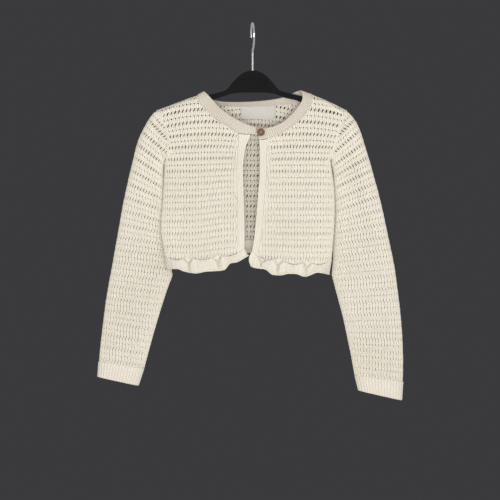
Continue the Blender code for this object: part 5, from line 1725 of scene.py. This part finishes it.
def wood_material():
    material, tree, shader = start_material("brown wood")
    grain = noise(tree, stretched_place(tree, (1.0, 1.0, 6.0), (0.0, 0.5, 0.0)), 260.0, 4.0)
    ramp = tree.nodes.new("ShaderNodeValToRGB")
    ramp.color_ramp.elements[0].position = 0.3
    ramp.color_ramp.elements[0].color = (0.06, 0.027, 0.015, 1.0)
    ramp.color_ramp.elements[1].position = 0.75
    ramp.color_ramp.elements[1].color = (0.20, 0.105, 0.056, 1.0)
    tree.links.new(grain, ramp.inputs["Fac"])
    place = tree.nodes.new("ShaderNodeTexCoord")
    apart = tree.nodes.new("ShaderNodeVectorMath")
    apart.operation = "MULTIPLY_ADD"
    apart.inputs[1].default_value = (1 / MM, 0.0, 1 / MM)
    apart.inputs[2].default_value = (-BUTTON_CENTRE[0], 0.0, -BUTTON_CENTRE[1])
    tree.links.new(place.outputs["Object"], apart.inputs[0])
    length = tree.nodes.new("ShaderNodeVectorMath")
    length.operation = "LENGTH"
    tree.links.new(apart.outputs["Vector"], length.inputs[0])
    rim = tree.nodes.new("ShaderNodeMapRange")
    rim.inputs["From Min"].default_value = RIM_INSIDE
    rim.inputs["From Max"].default_value = RIM_INSIDE + RIM_FADE
    tree.links.new(length.outputs["Value"], rim.inputs["Value"])
    colour = mixed_colour(tree, rim.outputs["Result"], ramp.outputs["Color"], (0.28, 0.18, 0.115))
    tree.links.new(colour, shader.inputs["Base Color"])
    shader.inputs["Roughness"].default_value = 0.5
    shader.inputs["Coat Weight"].default_value = 0.04
    add_bump(tree, shader, grain, 0.3, 0.0001)
    return material


give([nodes["button"]], wood_material())
thread_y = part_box("button")[0][1] / MM + THREAD_BEHIND_RIM
thread_parts = []
for shift in (-THREAD_APART, THREAD_APART):
    bend = np.linspace(-1, 1, THREAD_POINTS)
    across = BUTTON_CENTRE[0] + bend * (HOLE_SPREAD + 0.1)
    depth = thread_y + THREAD_DIP * np.abs(bend) ** 5
    line = np.stack([across, depth, np.full(THREAD_POINTS, BUTTON_CENTRE[1] + shift)], axis=-1)
    thread_parts.append(edge_strand(line, line * 0 + (0, -1, 0), THREAD_WIDE, THREAD_LUMPS))
points, faces, places = join(thread_parts)
button_thread = make_mesh("button_thread", points, faces, places)
give([button_thread], knit_cotton)
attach(button_thread, "root")
print("button thread at y", round(thread_y, 2), "mm")

# %% [markdown]
# ## Loop and label
# The loop is a thin cord of the garment's yarn. The label is a plain woven tape, left bare, with its two
# ends folded under and stitched. It follows the back from the neckband's seam down, a little inside it.

# %% Loop and label
give([nodes["button_loop"]], solid_material("loop yarn", (0.80, 0.75, 0.62), 0.9, variation=0.1, bump=0.0002))

LABEL_LEFT, LABEL_RIGHT, LABEL_HEIGHT = -18.6, 36.5, 20.7
LABEL_BELOW_SEAM, LABEL_GAP, LABEL_WALL = 1.2, 0.5, 0.45
LABEL_COLUMNS, LABEL_ROWS = 90, 40
# The neckband's rows behind the label, and the ridge where its ends are folded under.
ROWS_BEHIND_LABEL = slice(8, 12)
FOLD_HEIGHT, FOLD_WIDTH = 0.35, 2.2
LABEL_STITCH, LABEL_STITCH_LENGTH = 0.22, 1.1
LABEL_CREAM, DEEP_LABEL_AND_HOLLOW_SHADE = (0.60, 0.59, 0.55), (0.54, 0.525, 0.485)

across = np.linspace(LABEL_LEFT, LABEL_RIGHT, LABEL_COLUMNS)
stations = np.interp(across, NECKBAND[ROWS_BEHIND_LABEL, 0], np.arange(len(NECKBAND))[ROWS_BEHIND_LABEL])
label_top = neck_line(stations)[:, 1] - LABEL_BELOW_SEAM
rows = np.linspace(0, 1, LABEL_ROWS)[:, None]
height = label_top - rows * LABEL_HEIGHT
label_base = on_body(BACK, np.broadcast_to(across, height.shape), height)
label_base[:, :, 1] -= BODY_WALL + LABEL_GAP
ends = np.minimum(across - LABEL_LEFT, LABEL_RIGHT - across)
fold = FOLD_HEIGHT * np.exp(-((ends / FOLD_WIDTH) ** 4))
label_relief = np.broadcast_to(fold, height.shape)
behind = label_base + (0.0, FAR_BEHIND, 0.0)
weave_u, weave_v = (LABEL_RIGHT - LABEL_LEFT) / LABEL_COLUMNS, LABEL_HEIGHT / LABEL_ROWS
label_parts = [rib_shell(label_base, False, behind, label_relief, LABEL_WALL, weave_u, weave_v)]
for edge in (3, -4):
    line = label_base[::2, edge] - (0, 0.25, 0)
    label_parts.append(edge_strand(line, line * 0 + (0, -1, 0), LABEL_STITCH, LABEL_STITCH_LENGTH))
label_cloth = finish_knit(
    "neck_label_tape", label_parts, "neck_label",
    None,
)
# The label's deep colour is partly its own tone and partly painted shade, in the hollows of its fine weave.
label_satin = cloth_material(
    "label satin", stitch_group, {"Width": 0.5, "Tall": 0.5}, LABEL_CREAM, DEEP_LABEL_AND_HOLLOW_SHADE, 0.00003, 0.1
)
give([label_cloth], label_satin)
